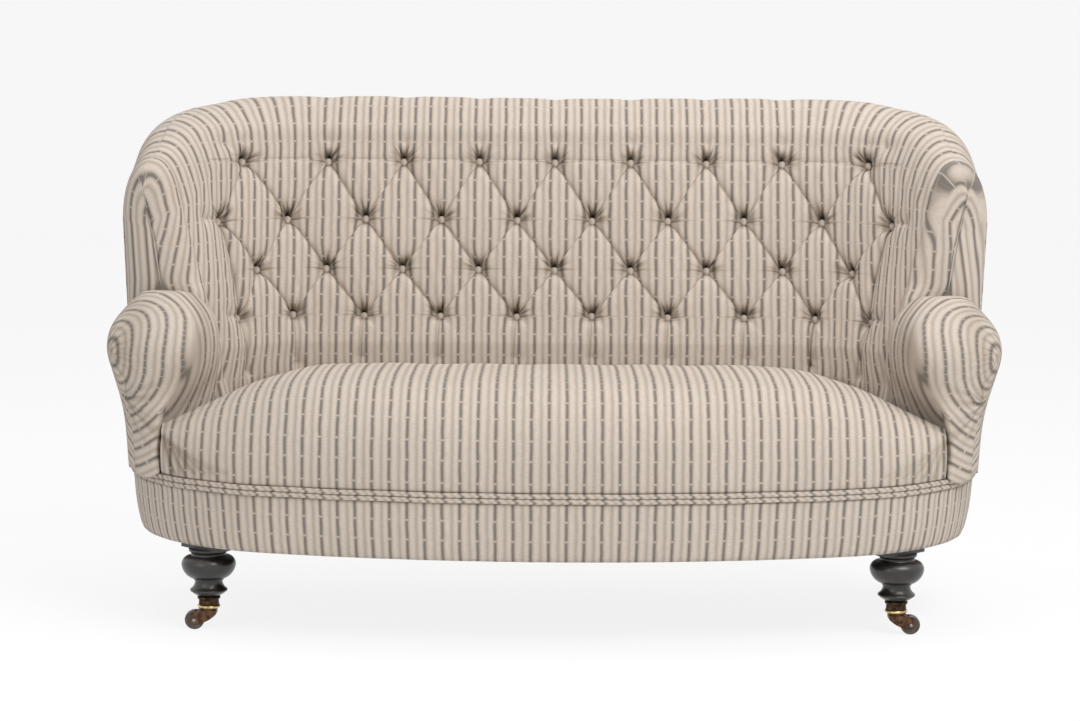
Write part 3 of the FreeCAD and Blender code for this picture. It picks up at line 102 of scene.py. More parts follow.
# Materials
class Value:
    """A number or colour inside a material, worked with by ordinary arithmetic."""

    def __init__(self, tree, socket):
        self.tree = tree
        self.socket = socket

    def worked(self, operation, *others, clamp=False):
        inputs = dict(enumerate((self, *others)))
        outputs = node_of(self.tree, "ShaderNodeMath", inputs, operation=operation, use_clamp=clamp)
        return Value(self.tree, outputs[0])

    def __add__(self, other):
        return self.worked("ADD", other)

    def __sub__(self, other):
        return self.worked("SUBTRACT", other)

    def __mul__(self, other):
        return self.worked("MULTIPLY", other)

    def __truediv__(self, other):
        return self.worked("DIVIDE", other)

    def __pow__(self, other):
        return self.worked("POWER", other)

    def __abs__(self):
        return self.worked("ABSOLUTE")

    def at_least(self, other):
        return self.worked("MAXIMUM", other)

    def limited(self, gain, offset):
        """The number times a gain plus an offset, kept between nought and one."""
        return self.worked("MULTIPLY_ADD", gain, offset, clamp=True)


def put(tree, value, slot):
    """Give an input its value: a Value, another node's output, a plain number or a colour."""
    if isinstance(value, Value):
        tree.links.new(value.socket, slot)
    elif isinstance(value, bpy.types.NodeSocket):
        tree.links.new(value, slot)
    else:
        slot.default_value = (*value, 1) if isinstance(value, tuple) else value


def node_of(tree, kind, inputs=None, **settings):
    """The outputs of a new node, after its settings and then its inputs are given."""
    node = tree.nodes.new(kind)
    for key, value in settings.items():
        setattr(node, key, value)
    for key, value in (inputs or {}).items():
        put(tree, value, node.inputs[key])
    return node.outputs


def empty_tree(owner):
    owner.use_nodes = True
    owner.node_tree.nodes.clear()
    return owner.node_tree


def material(name, **values):
    """A material with one shader, its node tree and the shader's inputs."""
    mat = bpy.data.materials.new(name)
    tree = empty_tree(mat)
    bsdf = tree.nodes.new("ShaderNodeBsdfPrincipled")
    for key, value in values.items():
        bsdf.inputs[key.replace("_", " ")].default_value = value
    node_of(tree, "ShaderNodeOutputMaterial", {"Surface": bsdf.outputs["BSDF"]})
    return mat, tree, bsdf.inputs


def ramp(factor, stops):
    node = factor.tree.nodes.new("ShaderNodeValToRGB")
    while len(node.color_ramp.elements) < len(stops):
        node.color_ramp.elements.new(0.5)
    for element, (place, colour) in zip(node.color_ramp.elements, stops):
        element.position = place
        element.color = (*colour, 1)
    put(factor.tree, factor, node.inputs[0])
    return Value(factor.tree, node.outputs[0])


def mix(tree, factor, first, second, blend="MIX"):
    inputs = {"Factor": factor, "A": first, "B": second}
    return Value(tree, node_of(tree, "ShaderNodeMix", inputs, data_type="RGBA", blend_type=blend)["Result"])


def noise(place, scale, detail=3.0, roughness=0.5):
    inputs = {"Vector": place, "Scale": scale, "Detail": detail, "Roughness": roughness}
    return Value(place.tree, node_of(place.tree, "ShaderNodeTexNoise", inputs)["Fac"])


def combine(x, y, z=0.0):
    return Value(x.tree, node_of(x.tree, "ShaderNodeCombineXYZ", {0: x, 1: y, 2: z})[0])


def split(place):
    return [Value(place.tree, output) for output in node_of(place.tree, "ShaderNodeSeparateXYZ", {0: place})]


def named_vector(tree, name):
    """The three numbers of a named vector on the mesh."""
    return split(Value(tree, node_of(tree, "ShaderNodeAttribute", attribute_name=name)["Vector"]))


def object_place(tree):
    return Value(tree, node_of(tree, "ShaderNodeTexCoord")["Object"])


def stretched(place, x, y, z):
    return combine(*(part * share for part, share in zip(split(place), (x, y, z))))


def bump(height, strength, distance, inputs):
    settings = {"Height": height, "Strength": strength, "Distance": distance}
    put(height.tree, node_of(height.tree, "ShaderNodeBump", settings)["Normal"], inputs["Normal"])


def odd_offset(value):
    """How far a number is from the nearest odd whole number."""
    return (value * 0.5).worked("FRACT") * 2.0 - 1.0


def fine_line(offset, width, sharpness=1.3):
    """A dark line where the offset is zero."""
    return ((abs(offset) / width) ** sharpness * -1.0).worked("EXPONENT")


def spot(x, y, centre, width, height):
    """A soft spot of painted shade at a height above the button."""
    across = x / width
    up = (y - centre) / height
    return ((across * across + up * up) * -1.0).worked("EXPONENT")


def button_painted_shade(column, row):
    """Painted shade in the recess over each button, in the gathers that rise from it and in the creases
    beside and below it.
    """
    whole = row.worked("ROUND")
    up = (row - whole) * ROW_STEP
    beside = odd_offset(column + whole) * (PITCH / 2)
    away = (beside * beside + up * up).worked("SQRT")
    turn = beside.worked("ARCTAN2", up)
    seed = whole * 7.3 + ((column + whole) * 0.5).worked("FLOOR") * 3.7
    streak = noise(combine(turn * 3.4, seed, away * 9.0), 1.0, 1.0).limited(6.0, -2.9)
    upward = turn.worked("COSINE").limited(0.75, 0.40)
    gathers = streak * upward * spot(away, away, 0.016, 1.0, 0.0135)
    recess = spot(beside, up, 0.0085, 0.0072, 0.0085)
    shade = spot(beside, up, 0.004, 0.020, 0.017)
    below = spot(beside, up, -0.0075, 0.0090, 0.0030) * 0.45
    sideways = spot(beside, up, -0.001, 0.034, 0.0019) * 0.60
    marks = (gathers * 0.85).at_least(recess).at_least(below.at_least(sideways)) + shade * 0.22
    return marks * row.limited(8.0, 4.6) * row.limited(-8.0, 28.6)


def tuft_painted_shade_and_jog(flat):
    """Painted shade in the creases between the tufts and in the gathers round the buttons, and the jog of the
    stripes at each pleat.
    """
    column, row, mask = named_vector(flat.tree, "tufts")
    wobble = noise(flat, 26.0) * 0.16 - 0.08
    falling = odd_offset(column + row + wobble)
    rising = odd_offset(column - row - wobble)
    edge = abs(column).limited(-6.0, 55.0)
    inside = row.limited(14.0, 1.0) * row.limited(-14.0, 43.0) * edge * mask
    # Painted shade along the pleats between the tufts, strong one way and weak the other
    strong = fine_line(falling, 0.024) * (abs(rising) * -0.60 + 0.95)
    weak = fine_line(rising, 0.022) * (abs(falling) * -0.60 + 0.70).at_least(0.08)
    lines = strong.at_least(weak) * inside
    # Painted shade in thin pleats down to the seat, and in one along the top row
    under = row.limited(-6.0, 0.6) * row.limited(6.0, 7.6)
    down = fine_line(odd_offset(row * -0.055 + column), 0.026) * under * mask * 0.42
    along_top = fine_line(row - 3.03, 0.016) * edge * mask * 0.34
    near = button_painted_shade(column, row) * mask
    dark = lines.at_least(near).at_least(down.at_least(along_top))
    # Cloth that is folded away in the pleats
    first_count = ((column + row) * 0.5 + 0.5).worked("FLOOR")
    second_count = ((column - row) * 0.5 + 0.5).worked("FLOOR")
    jog = (first_count + second_count - column) * FOLDED * inside
    return dark, jog


IVORY = (0.690, 0.600, 0.515)
CREAM = (0.640, 0.552, 0.470)
TAUPE = (0.500, 0.428, 0.362)
UMBER = (0.262, 0.222, 0.188)
SLATE = (0.225, 0.200, 0.182)


def striped_cloth():
    """Woven cloth with a dark broken stripe, cream bands and a soft taupe band, and painted shade in its
    creases and round its buttons.
    """
    mat, tree, inputs = material("striped cloth", Roughness=0.93, Sheen_Weight=0.10, Sheen_Roughness=0.5,
                                 Specular_IOR_Level=0.18)
    across, along, crease = named_vector(tree, "cloth")
    flat = combine(across, along)
    dark, jog = tuft_painted_shade_and_jog(flat)
    wandered = (noise(flat, 22.0) - 0.5) * 0.0034 + across + jog
    phase = (wandered / STRIPE_REPEAT).worked("FRACT")
    stripes = ramp(phase, [
        (0.000, SLATE), (0.055, UMBER), (0.120, TAUPE), (0.190, CREAM), (0.300, IVORY), (0.420, CREAM),
        (0.520, TAUPE), (0.600, TAUPE), (0.690, CREAM), (0.780, IVORY), (0.850, CREAM), (0.905, TAUPE),
        (0.960, UMBER), (1.000, SLATE)])
    row = (along / MARK_REPEAT).worked("FRACT")
    marks = fine_line(row - 0.12, 0.024, 2.0).at_least(fine_line(row - 0.65, 0.024, 2.0))
    on_stripe = abs(phase - 0.5).limited(14.0, -5.3)
    colour = mix(tree, marks * on_stripe * 0.78, stripes, IVORY)
    slub = noise(combine(across * 70.0, along * 620.0), 1.0, 2.0)
    yarn = noise(combine(across * 760.0, along * 60.0), 1.0, 2.0)
    age = noise(flat, 5.0, 4.0)
    # Painted shade: darker and warmer cloth in the creases, pleats and button recesses, on top of the yarn's
    # own tone
    depth = crease.at_least(dark)
    shade = (slub * 0.26 + 0.77) * (yarn * 0.30 + 0.85) * (age * 0.16 + 0.92) * (depth * -0.84 + 1.0)
    painted_shade_tint = mix(tree, depth, (1.0, 1.0, 1.0), (0.94, 0.84, 0.68))
    colour = mix(tree, 1.0, colour, painted_shade_tint, "MULTIPLY")
    put(tree, mix(tree, 1.0, colour, combine(shade, shade, shade), "MULTIPLY"), inputs["Base Color"])
    weft = (along * (2 * math.pi / WEFT_STEP)).worked("SINE")
    warp = (across * (2 * math.pi / WARP_STEP)).worked("SINE")
    bump(dark * -5.0 + (weft * warp + slub * 2.4), 0.40, 0.00035, inputs)
    return mat


def ebonised_wood():
    mat, tree, inputs = material("ebonised wood", Coat_Weight=0.35, Coat_Roughness=0.28)
    place = object_place(tree)
    grain = noise(stretched(place, 1.0, 1.0, 0.12), 260.0, 5.0, 0.6)
    wear = noise(place, 38.0, 5.0, 0.65)
    black = ramp(grain, [(0.30, (0.006, 0.005, 0.0045)), (0.70, (0.018, 0.015, 0.013))])
    rubbed = ramp(wear, [(0.60, (0.0, 0.0, 0.0)), (0.78, (1.0, 1.0, 1.0))])
    put(tree, mix(tree, rubbed * 0.5, black, (0.060, 0.038, 0.024)), inputs["Base Color"])
    put(tree, wear * 0.22 + 0.26, inputs["Roughness"])
    bump(grain, 0.25, 0.0004, inputs)
    return mat


def raw_wood():
    mat, tree, inputs = material("beech", Roughness=0.72)
    grain = noise(stretched(object_place(tree), 0.08, 1.0, 1.0), 90.0, 6.0, 0.62)
    colour = ramp(grain, [(0.25, (0.300, 0.165, 0.075)), (0.52, (0.450, 0.270, 0.130)),
                          (0.80, (0.560, 0.360, 0.190))])
    put(tree, colour, inputs["Base Color"])
    bump(grain, 0.3, 0.0005, inputs)
    return mat


def old_metal(name, bright, dull, tarnish, roughness):
    mat, tree, inputs = material(name, Metallic=1.0)
    place = object_place(tree)
    patches = noise(place, 120.0, 6.0, 0.65)
    fine = noise(place, 900.0, 3.0, 0.6)
    put(tree, ramp(patches, [(0.34, tarnish), (0.50, dull), (0.68, bright)]), inputs["Base Color"])
    put(tree, patches * -0.25 + roughness, inputs["Roughness"])
    bump(patches + fine, 0.35, 0.0004, inputs)
    return mat


def woven(name, dark, light, yarn_width, roughness=0.95):
    """Plain open weave for webbing, hessian, twine and bottom cloth."""
    mat, tree, inputs = material(name, Roughness=roughness, Specular_IOR_Level=0.15)
    place = object_place(tree)
    x, y, z = split(place)
    turn = 2 * math.pi / yarn_width
    weave = (x * turn).worked("SINE") * ((y + z) * turn).worked("SINE") * 0.5 + 0.5
    level = noise(place, 300.0, 4.0, 0.6) * 0.6 + weave * 0.4
    put(tree, ramp(level, [(0.2, dark), (0.8, light)]), inputs["Base Color"])
    bump(level, 0.5, yarn_width * 0.3, inputs)
    return mat


def glazed_brown():
    mat, tree, inputs = material("brown wheel", Coat_Weight=0.6, Coat_Roughness=0.12)
    cloud = noise(object_place(tree), 90.0, 5.0, 0.6)
    colour = ramp(cloud, [(0.30, (0.020, 0.011, 0.008)), (0.70, (0.075, 0.040, 0.026))])
    put(tree, colour, inputs["Base Color"])
    put(tree, cloud * 0.3 + 0.22, inputs["Roughness"])
    bump(cloud, 0.2, 0.0003, inputs)
    return mat


CLOTH = striped_cloth()
EBONY = ebonised_wood()
BEECH = raw_wood()
BRASS = old_metal("old brass", (0.110, 0.070, 0.036), (0.050, 0.033, 0.020), (0.016, 0.012, 0.009), 0.60)
BRIGHT_BRASS = old_metal("rubbed brass", (0.80, 0.62, 0.27), (0.62, 0.45, 0.18), (0.30, 0.20, 0.09), 0.42)
BRONZE = old_metal("old bronze", (0.200, 0.105, 0.058), (0.105, 0.058, 0.036), (0.040, 0.026, 0.020), 0.62)
STEEL = old_metal("spring steel", (0.45, 0.44, 0.42), (0.28, 0.27, 0.26), (0.14, 0.10, 0.08), 0.55)
WHEEL = glazed_brown()
JUTE = woven("jute webbing", (0.260, 0.180, 0.090), (0.500, 0.380, 0.220), 0.0022)
HESSIAN = woven("hessian", (0.230, 0.165, 0.090), (0.470, 0.370, 0.230), 0.0018)
TWINE = woven("twine", (0.420, 0.330, 0.210), (0.680, 0.580, 0.420), 0.0009)
BLACK_CLOTH = woven("black cloth", (0.006, 0.006, 0.006), (0.022, 0.022, 0.023), 0.0008)


# Meshes
def new_piece(name, points, faces, mat, cloth=None, tufts=None):
    mesh = bpy.data.meshes.new(name)
    points = np.asarray(points, np.float32)
    faces = [tuple(face) for face in faces]
    mesh.from_pydata(points.tolist(), [], faces)
    mesh.materials.append(mat)
    mesh.shade_smooth()
    for key, values in (("cloth", cloth), ("tufts", tufts)):
        if values is not None:
            layer = mesh.attributes.new(key, "FLOAT_VECTOR", "POINT")
            layer.data.foreach_set("vector", np.asarray(values, np.float32).ravel())
    mesh.validate()
    mesh.update()
    obj = bpy.data.objects.new(name, mesh)
    bpy.context.scene.collection.objects.link(obj)
    return obj


def grid_faces(rows, columns, wrap_rows=False, wrap_columns=False):
    """Quads of a grid whose vertices run along the columns first."""
    row = np.arange(rows if wrap_rows else rows - 1)
    column = np.arange(columns if wrap_columns else columns - 1)
    r, c = np.meshgrid(row, column, indexing="ij")
    r2, c2 = (r + 1) % rows, (c + 1) % columns
    quads = np.stack([r * columns + c, r * columns + c2, r2 * columns + c2, r2 * columns + c], -1)
    return quads.reshape(-1, 4).tolist()


def face_outwards(obj):
    """Point the faces of a closed piece outwards."""
    mesh = obj.data
    coords = np.zeros(len(mesh.vertices) * 3, np.float32)
    mesh.vertices.foreach_get("co", coords)
    coords = coords.reshape(-1, 3).astype(float)
    mesh.calc_loop_triangles()
    corners = np.zeros(len(mesh.loop_triangles) * 3, np.int32)
    mesh.loop_triangles.foreach_get("vertices", corners)
    a, b, c = (coords[corners.reshape(-1, 3)[:, i]] for i in range(3))
    if np.einsum("ij,ij->i", a, np.cross(b, c)).sum() < 0:
        mesh.flip_normals()
    return obj


def closed_sheet(name, places, cloth, tufts=None):
    """A closed piece from a grid of places that runs round its rows, with a polygon over each end."""
    total, wide = places.shape[:2]
    faces = grid_faces(total, wide, wrap_rows=True)
    for end in (0, wide - 1):
        ring = [row * wide + end for row in range(total)]
        faces.append(ring if end else ring[::-1])
    tufts = None if tufts is None else tufts.reshape(-1, 3)
    return face_outwards(new_piece(name, places.reshape(-1, 3), faces, CLOTH, cloth.reshape(-1, 3), tufts))


def finish_piece(obj, body, slot, *nodes):
    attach(obj, body)
    if nodes:
        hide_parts(*nodes)
    return obj


def bezier(p0, p1, p2, p3, t):
    """Points of cubic curves; the p are arrays of places, t is a column of parameters."""
    s = 1 - t
    return s ** 3 * p0 + 3 * s * s * t * p1 + 3 * s * t * t * p2 + t ** 3 * p3


def level_line(plan, height):
    """Places at one height over a line in plan."""
    return np.column_stack([plan, np.full(len(plan), height)])


def smooth_along(values, reach):
    """Round off the corners of a row of values; reach is in samples."""
    steps = np.arange(-3 * reach, 3 * reach + 1)
    weight = np.exp(-0.5 * (steps / reach) ** 2)
    padded = np.concatenate([np.full(3 * reach, values[0]), values, np.full(3 * reach, values[-1])])
    return np.convolve(padded, weight / weight.sum(), "valid")


# The back, from wing to wing: stations along it, each an origin, a direction and its reaches
def half_width(height):
    """Half the width over the outside covers; the wings stand wider than the border."""
    share = np.clip((height - WELT_HEIGHT) / (ARM_HEIGHT - WELT_HEIGHT), 0, 1)
    return WELT_HALF + (WING_HALF - WELT_HALF) * share


def rear_y(height):
    return SEAT_LINE + BACK_THICKNESS + RAKE * (height - SEAT_HEIGHT)


def station_angle(run):
    """Direction from the corner's origin, in degrees, of a station at a run along the back."""
    turn = np.degrees(np.maximum(np.abs(run) - TUB_HALF, 0) / CORNER_REACH)
    return 90 - turn


def lean(height):
    return RAKE * np.maximum(height - SEAT_HEIGHT, 0)


def inner_reach(angle, height):
    """Reach of the inside of the back from the corner's origin."""
    past = np.radians(np.maximum(SPLAY - angle, 0))
    return (TUB_RADIUS + lean(height)) / np.cos(past)


def outer_reach(angle, height):
    """Reach of the outside of the covers from the corner's origin."""
    out_x, out_y = np.cos(np.radians(angle)), np.sin(np.radians(angle))
    side, back = half_width(height) + 0 * angle, rear_y(height) + 0 * angle
    ox, oy = CORNER_ORIGIN
    x_reach = (side - ox) / np.maximum(out_x, 1e-9)
    y_reach = (back - oy) / np.maximum(out_y, 1e-9)
    dx, dy = ox - (side - REAR_CORNER), oy - (back - REAR_CORNER)
    along = dx * out_x + dy * out_y
    bend = -along + np.sqrt(np.maximum(along ** 2 - dx ** 2 - dy ** 2 + REAR_CORNER ** 2, 0))
    on_side = oy + x_reach * out_y <= back - REAR_CORNER
    on_back = (ox + y_reach * out_x <= side - REAR_CORNER) & (out_y > 0.2)
    return np.where(on_side, x_reach, np.where(on_back, y_reach, bend))


CREST_TABLE = ((-2, 1), (6, 0.82), (14, 0.60), (28, 0.34), (36, 0.22), (45, 0.13), (63, 0), (90, 0))
COVER_TABLE = ((-2, 1), (28, 1), (36, 0.75), (50, 0.35), (63, 0), (90, 0))

CAP_START = 8.0
WING_RUN = 4.5 * PITCH
RUN_END = TUB_HALF + CORNER_REACH * math.radians(90 - CAP_START)
COLUMN_STEP = 0.0028
columns = 2 * int(RUN_END / COLUMN_STEP) + 1
run = np.linspace(-RUN_END, RUN_END, columns)
angle = station_angle(run)
top = SOFA_HEIGHT - WING_DROP * np.interp(angle, *zip(*CREST_TABLE))
cover = CREST_COVER + (WING_COVER - CREST_COVER) * np.interp(angle, *zip(*COVER_TABLE))
top = smooth_along(top, 12)
cover = smooth_along(cover, 10)

button_rows = []
for row, height in enumerate(ROWS):
    half = 4.0 if row % 2 == 0 else 4.5
    button_rows.append([(step * PITCH, height) for step in np.arange(-half, half + 0.1)])

# The roll dips a little above each button of the top row
for place, height in button_rows[0]:
    top -= 0.0028 * np.exp(-0.5 * ((run - place) / 0.016) ** 2)
top -= 0.0012 * np.sin(run * 9.0 + 1.3)


def reach_point(reach, height):
    """Places at a reach outwards from each station."""
    side = np.sign(run) + (run == 0)
    straight = np.abs(run) <= TUB_HALF
    out_x, out_y = np.cos(np.radians(angle)), np.sin(np.radians(angle))
    x = np.where(straight, np.abs(run), CORNER_ORIGIN[0] + out_x * reach) * side
    y = CORNER_ORIGIN[1] + np.where(straight, 1.0, out_y) * reach
    return np.stack([x, y, height + 0 * x], -1)


FACE_ROWS = 210
FACE_START = 0.300


def back_rows():
    """Rows of places up the inside, over the roll and down to the outside seam."""
    foot = top - ROLL_HEIGHT
    under = top - cover
    rows, heights = [], []
    for number in range(FACE_ROWS):
        height = FACE_START + (foot - FACE_START) * number / FACE_ROWS
        rows.append(reach_point(inner_reach(angle, height), height))
        heights.append(height)
    front = inner_reach(angle, foot)
    rear = outer_reach(angle, under)
    middle = (front + rear) / 2
    rise = top - foot
    steps = 44
    for number in range(steps):
        t = number / steps
        reach = bezier(front, front + RAKE * rise * 0.5, middle - (middle - front) * 0.62, middle, t)
        height = bezier(foot, foot + rise * 0.58, top, top, t)
        rows.append(reach_point(reach, height))
        heights.append(height)
    for number in range(steps + 1):
        t = number / steps
        reach = bezier(middle, middle + (rear - middle) * 0.58, rear, rear, t)
        height = bezier(top, top, under + (top - under) * 0.55, under, t)
        rows.append(reach_point(reach, height))
        heights.append(2 * top - height + 0.02)
    return np.array(rows), np.array(heights)


base, row_height = back_rows()
rows = len(base)


def row_lengths(places):
    """Distance up each column, measured from the first row."""
    step = np.linalg.norm(np.diff(places, axis=0), axis=-1)
    return np.concatenate([np.zeros((1, places.shape[1])), np.cumsum(step, axis=0)])


def column_lengths(places):
    """Distance along each row, measured from the middle of the back."""
    step = np.linalg.norm(np.diff(places[:, :, :2], axis=1), axis=-1)
    total = np.concatenate([np.zeros((places.shape[0], 1)), np.cumsum(step, axis=1)], axis=1)
    return total - total[:, places.shape[1] // 2][:, None]


up_length = row_lengths(base)
across = column_lengths(base)

# Pleats between the buttons: start, end, depth in the middle, depth at the ends, strength of the crease (its
# line and its painted shade)
pleats = []


def add_pleat(start, end, middle, ends, crease, lopsided=0.0):
    pleats.append((start, end, middle, ends, crease, lopsided))


# Crease and lopsidedness of the pleats that fall to the right, and of those that fall to the left
TO_RIGHT = (0.0026, 0.35)
TO_LEFT = (0.0010, -0.2)
for upper, lower in zip(button_rows, button_rows[1:]):
    for x, z in upper:
        for below_x, below_z in lower:
            if abs(abs(below_x - x) - PITCH / 2) < 0.001:
                add_pleat((x, z), (below_x, below_z), 0.0050, 0.0130, *(TO_RIGHT if below_x > x else TO_LEFT))
for x, z in button_rows[3]:
    add_pleat((x, z), (x + 0.004 * math.sin(40 * x), 0.462), 0.0020, 0.0090, 0.0010)
for (x, z), (next_x, _) in zip(button_rows[0], button_rows[0][1:]):
    add_pleat((x, z + 0.004), (next_x, z + 0.004), 0.0025, 0.0090, 0.0010)
for x, z in button_rows[0]:
    add_pleat((x, z), (x + 0.002, z + 0.038), 0.0030, 0.0080, 0.0010)
for side, seat_depth, seat_crease in ((-1, 0.003, 0.001), (1, 0.005, 0.0036)):
    x, z = button_rows[0][-1]
    add_pleat((side * x, z), (side * (x + 0.035), z + 0.035), 0.004, 0.010, 0.0012)
    for row in (1, 3):
        x, z = button_rows[row][-1]
        add_pleat((side * x, z), (side * (x + 0.050), z + 0.008), 0.004, 0.011, 0.0014)
    (x, high), (x, low) = button_rows[1][-1], button_rows[3][-1]
    bend = [(x, high), (x - 0.004, high - 0.055), (x - 0.005, high - 0.105), (x - 0.002, high - 0.150)]
    for first, second in zip(bend, [*bend[1:], (x, low)]):
        add_pleat((side * first[0], first[1]), (side * second[0], second[1]), 0.012, 0.013, 0.0026)
    add_pleat((side * x, low), (side * (x + 0.006), 0.440), 0.007, 0.013, 0.0020)
    x = button_rows[3][-2][0]
    add_pleat((side * x, low), (side * (x - 0.002), 0.450), seat_depth, 0.012, seat_crease)


def tufting(place_x, place_z):
    """How deep the cloth is drawn in, and how much painted shade lies in its creases, over the whole face."""
    valley = np.zeros_like(place_x)
    crease = np.zeros_like(place_x)
    for start, end, middle, ends, strength, lopsided in pleats:
        start, end = np.array(start), np.array(end)
        run_x, run_z = end - start
        length = math.hypot(run_x, run_z)
        rel_x, rel_z = place_x - start[0], place_z - start[1]
        t = np.clip((rel_x * run_x + rel_z * run_z) / length ** 2, 0, 1)
        away_x, away_z = rel_x - t * run_x, rel_z - t * run_z
        distance = np.hypot(away_x, away_z)
        if lopsided:
            beside = np.sign(rel_x * run_z - rel_z * run_x)
            distance = distance * (1 + lopsided * beside)
        depth = middle + (ends - middle) * np.abs(2 * t - 1) ** 2.2
        wall = depth * np.exp(-(distance / 0.0130) ** 1.15)
        line = strength * np.exp(-distance / 0.0022)
        valley = np.maximum(valley, wall + line)
        # Painted shade along the stronger creases
        crease_shade = np.clip(strength - 0.0012, 0, 1) / 0.0024
        crease = np.maximum(crease, crease_shade * np.exp(-(distance / 0.0022) ** 1.4))
    return valley, crease


buttons = np.array([place for row in button_rows for place in row])


BUTTON_REACH = 0.09
BUTTON_SINK = 0.0105


def button_draw(place_x, place_z):
    """Dimples at the buttons, the gathers round them, and how the cloth is drawn together."""
    dimple = np.zeros_like(place_x)
    pull = np.zeros_like(place_x)
    for number, (x, z) in enumerate(buttons):
        dx, dz = place_x - x, place_z - z
        r = np.hypot(dx, dz)
        near = r < BUTTON_REACH
        dxn, dzn, rn = dx[near], dz[near], r[near]
        theta = np.arctan2(dxn, dzn)
        pit = 0.0125 * np.exp(-(rn / 0.0125) ** 2) + 0.005 * np.exp(-rn / 0.016)
        above = np.hypot(dxn * 1.15, dzn - 0.0105)
        pit += 0.0080 * np.exp(-(above / 0.0058) ** 2)
        phase = rng.uniform(0, 2 * math.pi)
        count = 9 + number % 3
        upward = 0.55 + 0.45 * np.cos(theta)
        folds = np.cos(count * theta + phase) + 0.5 * np.cos((count + 5) * theta + 2 * phase)
        pit += 0.0014 * folds * np.exp(-((rn - 0.0165) / 0.0085) ** 2) * upward
        dimple[near] += pit
        pull[near] += dxn * 0.55 * np.exp(-(np.hypot(dxn, dzn * 0.8 - 0.006) / 0.018) ** 2)
    return dimple, pull


place_x = np.broadcast_to(run, base.shape[:2]).copy()
place_z = row_height.copy()
valley, crease = tufting(place_x, place_z)
dimple, pull = button_draw(place_x, place_z)

inside_buttons = 1 / (1 + np.exp((np.abs(place_x) - 4.62 * PITCH) / 0.014))
below_roll = 1 / (1 + np.exp((place_z - 0.866) / 0.010))
past_buttons = np.clip((np.abs(place_x) - WING_RUN) / (RUN_END - WING_RUN), 0, 1)
wing_swell = 0.010 * np.sin(past_buttons * math.pi) ** 0.7
fade_up = np.clip((top[None, :] - row_height + 0.02) / 0.35, 0, 1) ** 0.5
stuffing = CROWN * inside_buttons * below_roll + wing_swell * fade_up * (1 - inside_buttons)
roll_swell = 0.010 * np.exp(-((place_z - 0.892) / 0.026) ** 2) * inside_buttons
seat_tuck = np.clip((SEAT_HEIGHT + 0.035 - place_z) / 0.035, 0, 1)
puff = stuffing + roll_swell - valley - dimple - seat_tuck * 0.008
puff *= 1 - np.clip((SEAT_HEIGHT - 0.02 - place_z) / 0.03, 0, 1)


def normals_of(places):
    along_rows = np.gradient(places, axis=0)
    along_columns = np.gradient(places, axis=1)
    normal = np.cross(along_columns, along_rows)
    return normal / np.maximum(np.linalg.norm(normal, axis=-1, keepdims=True), 1e-9)


normal = normals_of(base)
if normal[100, columns // 2, 1] > 0:
    normal = -normal
ripple = 0.0006 * np.sin(place_x * 210 + 3 * np.sin(place_z * 31)) * below_roll
back_places = base + normal * (puff + ripple)[..., None]


def shell_reach(turn, height, under):
    """Outside of the covers at a station, straight from the seat rails up to the roll."""
    share = (height - RAIL_TOP) / (under - RAIL_TOP)
    return outer_reach(turn, RAIL_TOP + 0 * turn) * (1 - share) + outer_reach(turn, under) * share


def closing_rows():
    """Rows down the back of the stuffing, so that the pad is closed."""
    under = top - cover
    out = []
    for share in (0.02, 0.25, 0.5, 0.75, 1.0):
        height = under + (RAIL_TOP + 0.004 - under) * share
        shell = shell_reach(angle, height, under)
        inside = np.minimum(inner_reach(angle, height) + 0.045, shell - 0.040)
        near_front = np.clip((14.0 - angle) / 5.0, 0, 1)
        out.append(reach_point(inside + (shell - 0.0012 - inside) * near_front, height))
    return np.array(out)


closing = closing_rows()
edge_rows = [back_places[-1] * (1 - share) + closing[0] * share for share in (0.35, 0.75)]
bottom = back_places[0].copy()
bottom[:, 2] = RAIL_TOP + 0.004
all_places = np.concatenate([back_places, edge_rows, closing, [bottom]])

across[FACE_ROWS:] = across[FACE_ROWS]
extra = len(all_places) - rows
along_cloth = up_length + FACE_START
below_rows = [SEAT_HEIGHT - 0.088 * step for step in (2, 1, 0)]
button_row = np.interp(row_height, [*below_rows, *ROWS[::-1], ROWS[0] + ROW_STEP], range(-3, 5))
mask = np.clip((0.905 - row_height) / 0.02, 0, 1) * np.clip((9.6 - np.abs(place_x) / PITCH * 2) / 0.3, 0, 1)
# The third number of the cloth is the painted shade in the creases
cloth = np.stack([STRIPE_START + across * GATHER + pull, along_cloth, np.clip(crease, 0, 1)], -1)
tufts = np.stack([place_x / PITCH * 2, button_row, mask], -1)
cloth = np.concatenate([cloth, np.repeat(cloth[-1:], extra, axis=0)], axis=0)
tufts = np.concatenate([tufts, np.repeat(tufts[-1:] * (1, 1, 0), extra, axis=0)], axis=0)

# Rounded front of each wing: the section at the end of the run, drawn together as it comes forward
CAP_STEPS = 26
WING_NOSE = 0.003


